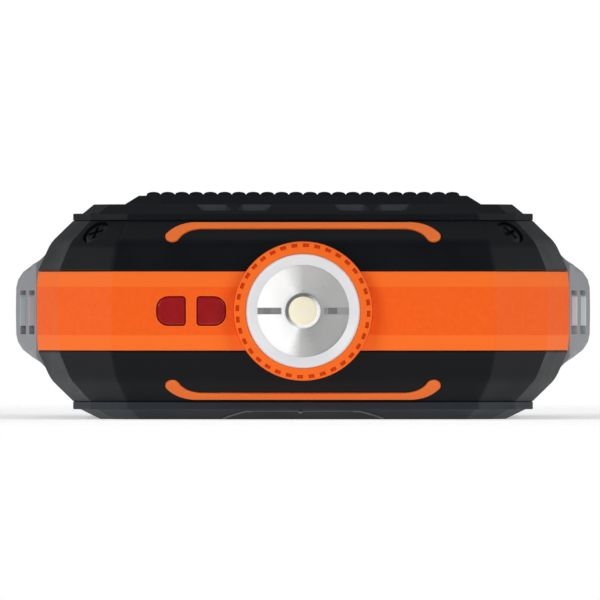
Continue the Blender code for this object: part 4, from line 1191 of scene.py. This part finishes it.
def torch_reflector():
    """Metallised bowl with a slot on either side for the contact strips."""
    steps = 24
    outer = [(7.9 * MM, BOWL_FRONT), (7.9 * MM, BOWL_FRONT - 0.8 * MM)]
    outer += [bowl_point(i / steps, 0.6 * MM) - Vector((0, 0.3 * MM))
              for i in range(steps - 1, -1, -1)]
    back = [(BOWL_THROAT, BOWL_BACK - 0.3 * MM)]
    inner = [bowl_point(i / steps, 0.0) for i in range(steps + 1)]
    piece = lathe("torch_reflector_skin", outer + back + inner, TORCH, 128)
    tools = []
    for side in (-1, 1):
        tools.append(box_between(
            "slot", (side * 3.35 * MM, FRONT_Y + MM, BAND_Z - 0.53 * MM),
            (side * 7.13 * MM, FRONT_Y + 10 * MM, BAND_Z + 0.53 * MM)))
    carve(piece, tools)
    combine(piece, contact_strip(-1) + contact_strip(1))
    stand_for(piece, "torch_reflector", left_strip_painted_reflection, left_pad_painted_reflection, right_strip_painted_reflection, right_pad_painted_reflection)


def torch_led():
    """Phosphor disc on a pale ceramic base."""
    piece = turned_piece(
        "torch_led_skin", [(0, -7.85), (1.9, -7.9), (2.25, -8.1), (2.25, -8.6), (0, -8.6)],
        [0, 0.5, 0.2, 0, 0], closed=False)
    seat = turned_piece(
        "seat", [(0, -8.55), (2.7, -8.55), (2.7, -9.0), (3.4, -9.0), (3.4, -10.0), (0, -10.0)],
        [0, 0.12, 0.05, 0.1, 0.1, 0], closed=False)
    # The collar's dark and bright sides are painted shade and painted highlight.
    collar = turned_piece("collar", [(2.76, -7.9), (2.76, -8.7), (2.27, -8.7), (2.27, -8.25)],
                          [0.08, 0, 0, 0.05])
    combine(piece, [finish_slot(seat, 1), finish_slot(collar, 2)])
    stand_for(piece, "torch_led", ceramic, collar_painted_shade_and_highlight("led_collar_painted_light"))


def signal_lenses():
    """The two red windows."""
    for name in ("signal_lens_outer", "signal_lens_inner"):
        outline, place = lamp_outline(name, 0.0)
        piece = prism(name + "_skin", outline, -5.2 * MM, -0.25 * MM, 0.35 * MM, place)
        stand_for(piece, name)


# ---------------------------------------------------------------- side grips

def side_grip(name, side):
    """Grey end piece: raised bar with thin flanges, tapered ends, ribs and finger grooves."""
    upper = [(45.2, 0.0), (45.14, 3.7), (44.85, 4.9), (44.05, 6.1), (42.6, 7.2), (41.2, 8.1),
             (40.5, 8.8), (40.05, 9.6), (39.7, 9.6), (39.7, 6.6), (40.9, 6.6)]
    outline = upper + [(x, -h) for x, h in reversed(upper[1:])]
    half_radii = [0, 1.0, 1.0, 1.2, 0.8, 0.8, 0.8, 0.1, 0.1, 0.1, 0.1]
    path = fillet(outline, half_radii + list(reversed(half_radii[1:])))
    reach = (grip_high.y - grip_low.y) / 2
    stations = [reach * s for s in (-1, -0.99, -0.975, -0.95, -0.9, -0.86, -0.83, -0.8)]
    stations += [-y for y in reversed(stations)]
    loops = []
    for y in stations:
        limit = GRIP_END_X + min(GRIP_RISE, (reach - abs(y)) / MM * GRIP_TAPER)
        loop = []
        for p in path:
            over = max(0.0, p.x - limit)
            loop.append((side * (p.x - over) * MM, MID_Y + y, BAND_Z + p.y * MM))
        loops.append(loop)
    piece = skin(name + "_skin", loops)
    grooves = []
    for i in range(-5, 6):
        place = at(side * 45.3 * MM, MID_Y + i * GROOVE_PITCH, BAND_Z)
        grooves.append(rounded_box("groove", (1.4 * MM, 1.6 * MM, 7.4 * MM), 0.35 * MM, place))
    pits, ribs = grip_ribs(side)
    carve(piece, grooves + pits)
    combine(piece, ribs)
    # The left grip is painted shaded and the right grip painted lit.
    if side < 0:
        stand_for(piece, name, rib_left_painted_shade, pit_dark_painted_shade, pit_mid_painted_shade)
    else:
        stand_for(piece, name, rib_right_painted_highlight, pit_light_painted_light, pit_light_painted_light)


def grip_ribs(side):
    """Cutters for the pits by the ribs, and the upright ribs at both ends of a grip."""
    pits = []
    ribs = []
    for end in (-1, 1):
        for x, y in GRIP_RIBS:
            # Each pit takes its own slot: painted shade on the left grip, painted light on the
            # right.
            for slot_index, h, tall in GRIP_PITS:
                place = at(side * x * MM, MID_Y + end * (y + 1.5) * MM, BAND_Z + h * MM)
                pit = rounded_box("pit", (0.95 * MM, 4.2 * MM, tall * MM), 0.0, place)
                pits.append(finish_slot(pit, slot_index))
            place = at(side * x * MM, MID_Y + end * y * MM, BAND_Z)
            bar = rounded_box("bar", (0.9 * MM, 2.8 * MM, 4.6 * MM), 0.12 * MM, place)
            ribs.append(finish_slot(bar))
    return pits, ribs


# ---------------------------------------------------------------- screws and controls

def screw(name, place):
    """Domed cross-head screw."""
    profile = [(0, 0.0), (1.5, -0.03), (2.1, -0.25), (2.1, -1.0), (0, -1.0)]
    piece = turned_piece(name + "_skin", profile, [0, 0.8, 0.12, 0.1, 0], place, 48, False)
    arms = []
    for i in range(2):
        turn = place @ turned(i * math.pi / 2 + math.radians(20), "Z")
        # The cross slots take the painted shade.
        arms.append(finish_slot(rounded_box("arm", (2.8 * MM, 0.6 * MM, 1.3 * MM), 0.1 * MM, turn)))
    carve(piece, arms)
    stand_for(piece, name, recess_painted_shade)


def screws():
    """Four screws in the corner slopes and four in the base."""
    for name, corner in SCREW_CORNERS.items():
        screw("corner_screw_" + name, corner_screw_frame(*corner) @ at(0, 0, -0.15 * MM))
        low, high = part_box("base_screw_" + name)
        middle = (low + high) / 2
        screw("base_screw_" + name, at(middle.x, middle.y, low.z) @ turned(math.pi, "X"))


def power_button():
    """Dished button with a raised ring round its middle."""
    profile = [(0, 35.0), (2.6, 35.0), (2.8, 35.12), (3.2, 35.12), (3.4, 35.0), (4.6, 35.15),
               (5.1, 35.3), (5.5, 34.9), (5.5, 32.6), (6.7, 32.6), (6.7, 31.9), (1.5, 31.9),
               (1.5, 29.5), (0, 29.5)]
    radii = [0, 0.1, 0.08, 0.08, 0.1, 0.3, 0.2, 0.2, 0, 0, 0, 0, 0, 0]
    x, y = button_centre()
    piece = turned_piece("power_button_skin", profile, radii, at(x, y, 0), 64, False)
    stand_for(piece, "power_button")


def charge_window():
    """Frosted bar in four segments."""
    middle = (window_low + window_high) / 2
    place = at(middle.x, middle.y, 0)
    outline = rounded_rectangle(16.0 * MM, 2.6 * MM, 1.25 * MM)
    piece = prism("charge_window_skin", outline, window_low.z, window_high.z, 0.2 * MM, place)
    marks = []
    for x in (-4 * MM, 0, 4 * MM):
        place = at(middle.x + x, middle.y, window_high.z)
        # The marks between segments take the painted shade.
        marks.append(finish_slot(rounded_box("mark", (0.35 * MM, 4 * MM, 0.8 * MM), 0.0, place)))
    carve(piece, marks)
    stand_for(piece, "charge_window", recess_painted_shade)


def port_cover():
    """Hinged cover that follows the band's section, with a finger notch and grip lines."""
    pin_in = 0.95
    pin_h = -4.5
    arc = [(-pin_in + 0.85 * math.cos(math.radians(a)), pin_h + 0.85 * math.sin(math.radians(a)))
           for a in range(180, 361, 15)]
    outline = [(-1.8, 5.4)] + arc + [(0.0, -3.78), (0.0, 3.78), (-0.3, 5.4)]
    radii = [0.15] + [0] * len(arc) + [0.3, 0.3, 0.2]
    path = fillet(outline, radii)
    half = door_high.x
    loops = []
    edge = 0.12 * MM
    for x, inset in ((-half, 0.12), (-half + edge, 0.0), (half - edge, 0.0), (half, 0.12)):
        drawn = [Vector((max(-1.8 + inset, min(-inset, p.x)), p.y)) for p in path]
        loops.append([(x, REAR_Y + p.x * MM, BAND_Z + p.y * MM) for p in drawn])
    piece = skin("port_cover_skin", loops)
    tools = [rounded_box("notch", (10 * MM, 2 * MM, 1.6 * MM), 0.4 * MM,
                         at(0, REAR_Y + 0.3 * MM, BAND_Z + 5.2 * MM))]
    for i in range(3):
        tools.append(rounded_box("line", (14 * MM, 0.6 * MM, 0.4 * MM), 0.12 * MM,
                                 at(0, REAR_Y, BAND_Z + (1.2 + 0.9 * i) * MM)))
    reach = 30 * MM
    axis_y = REAR_Y - pin_in * MM
    axis_z = BAND_Z + pin_h * MM
    tools.append(rod("bore", (-reach, axis_y, axis_z), (reach, axis_y, axis_z), 0.5 * MM, 24))
    carve(piece, tools)
    stand_for(piece, "port_cover")


# ---------------------------------------------------------------- build the object

shell("upper_shell", 1)
shell("lower_shell", -1)
bumper_band()
trims()
top_cover()
grip_pad()
base_cover()
focus_ring()
optic_carrier()
torch_lens()
torch_reflector()
torch_led()
signal_lenses()
side_grip("left_side_grip", -1)
side_grip("right_side_grip", 1)
screws()
power_button()
charge_window()
port_cover()

for name, obj in frame["nodes"].items():
    if name not in shown:
        obj.data.materials.clear()
        obj.data.materials.append(finishes[slots[name]])
        obj.data.shade_smooth()
        obj.data.set_sharp_from_angle(angle=math.radians(35))


# ---------------------------------------------------------------- stage

def floor():
    """Pale floor that fades into the white surroundings away from the object."""
    bm = bmesh.new()
    fade_start = 0.10
    fade_end = 0.50
    bmesh.ops.create_circle(bm, cap_ends=True, segments=96, radius=0.9)
    obj = from_bmesh("floor", bm)
    material, tree, shader, place = start_material("floor_pale", 0.7, specular=0.1)
    tone = mix_colours(tree, noise(tree, place, 0.03, 3.0), (0.86, 0.86, 0.86), (0.89, 0.89, 0.89))
    link(tone, shader.inputs["Base Color"])
    distance = node(tree, "ShaderNodeVectorMath", operation="LENGTH")
    link(place, distance.inputs[0])
    fade = remap(tree, distance.outputs["Value"], fade_start, fade_end, 1.0, 0.0)
    underneath = node(tree, "ShaderNodeNewGeometry").outputs["Backfacing"]
    seen_from_above = combine_values(tree, "SUBTRACT", 1.0, underneath)
    link(combine_values(tree, "MULTIPLY", fade, seen_from_above), shader.inputs["Alpha"])
    put(shader, Emission_Color=(1.0, 1.0, 1.0, 1.0), Emission_Strength=0.41)
    obj.data.materials.clear()
    obj.data.materials.append(material)


def softbox(name, location, size, power):
    """Square light, a little cool, aimed at the middle of the object."""
    light = bpy.data.lights.new(name, "AREA")
    light.shape = "RECTANGLE"
    light.size = size
    light.size_y = size
    light.energy = power
    light.color = (0.955, 0.98, 1.0)
    obj = bpy.data.objects.new(name, light)
    bpy.context.scene.collection.objects.link(obj)
    obj.location = location
    aim = Vector((0.0, 0.0, 17.8 * MM)) - Vector(location)
    obj.rotation_euler = aim.to_track_quat("-Z", "Y").to_euler()


def surroundings():
    """White to the camera, much dimmer as light."""
    world = bpy.data.worlds.new("studio")
    world.use_nodes = True
    tree = world.node_tree
    tree.nodes.clear()
    path = node(tree, "ShaderNodeLightPath")
    seen = node(tree, "ShaderNodeBackground", color=(1.0, 1.0, 1.0, 1.0), strength=1.0)
    soft = node(tree, "ShaderNodeBackground", color=(0.97, 0.985, 1.0, 1.0), strength=0.12)
    either = node(tree, "ShaderNodeMixShader")
    out = node(tree, "ShaderNodeOutputWorld")
    link(path.outputs["Is Camera Ray"], either.inputs[0])
    link(soft.outputs[0], either.inputs[1])
    link(seen.outputs[0], either.inputs[2])
    link(either.outputs[0], out.inputs[0])
    bpy.context.scene.world = world


def camera():
    """Long lens, level and square on to the torch end."""
    data = bpy.data.cameras.new("camera")
    data.lens = 1500.0
    data.sensor_width = 36.0
    margin = 1.0395
    span = (cad_box[1].x - cad_box[0].x) * margin
    obj = bpy.data.objects.new("camera", data)
    bpy.context.scene.collection.objects.link(obj)
    distance = span * data.lens / data.sensor_width
    data.clip_end = 20.0
    obj.location = (-0.47 * MM, ring_low.y - distance, 18.66 * MM)
    obj.rotation_euler = (math.pi / 2, 0.0, 0.0)
    bpy.context.scene.camera = obj


floor()
surroundings()
for side, way, key_power in (("left", -1, 6.1), ("right", 1, 5.3)):
    softbox("key_" + side, (way * 0.75, -0.85, 0.50), 0.6, key_power)
    softbox("side_" + side, (way * 1.0, 0.1, 0.25), 0.5, 2.1)
    softbox("rear_" + side, (way * 0.75, 0.95, 0.45), 0.6, 0.7)
softbox("top", (0.0, 0.2, 1.0), 0.8, 1.3)
camera()
bpy.context.scene.view_settings.view_transform = "Standard"
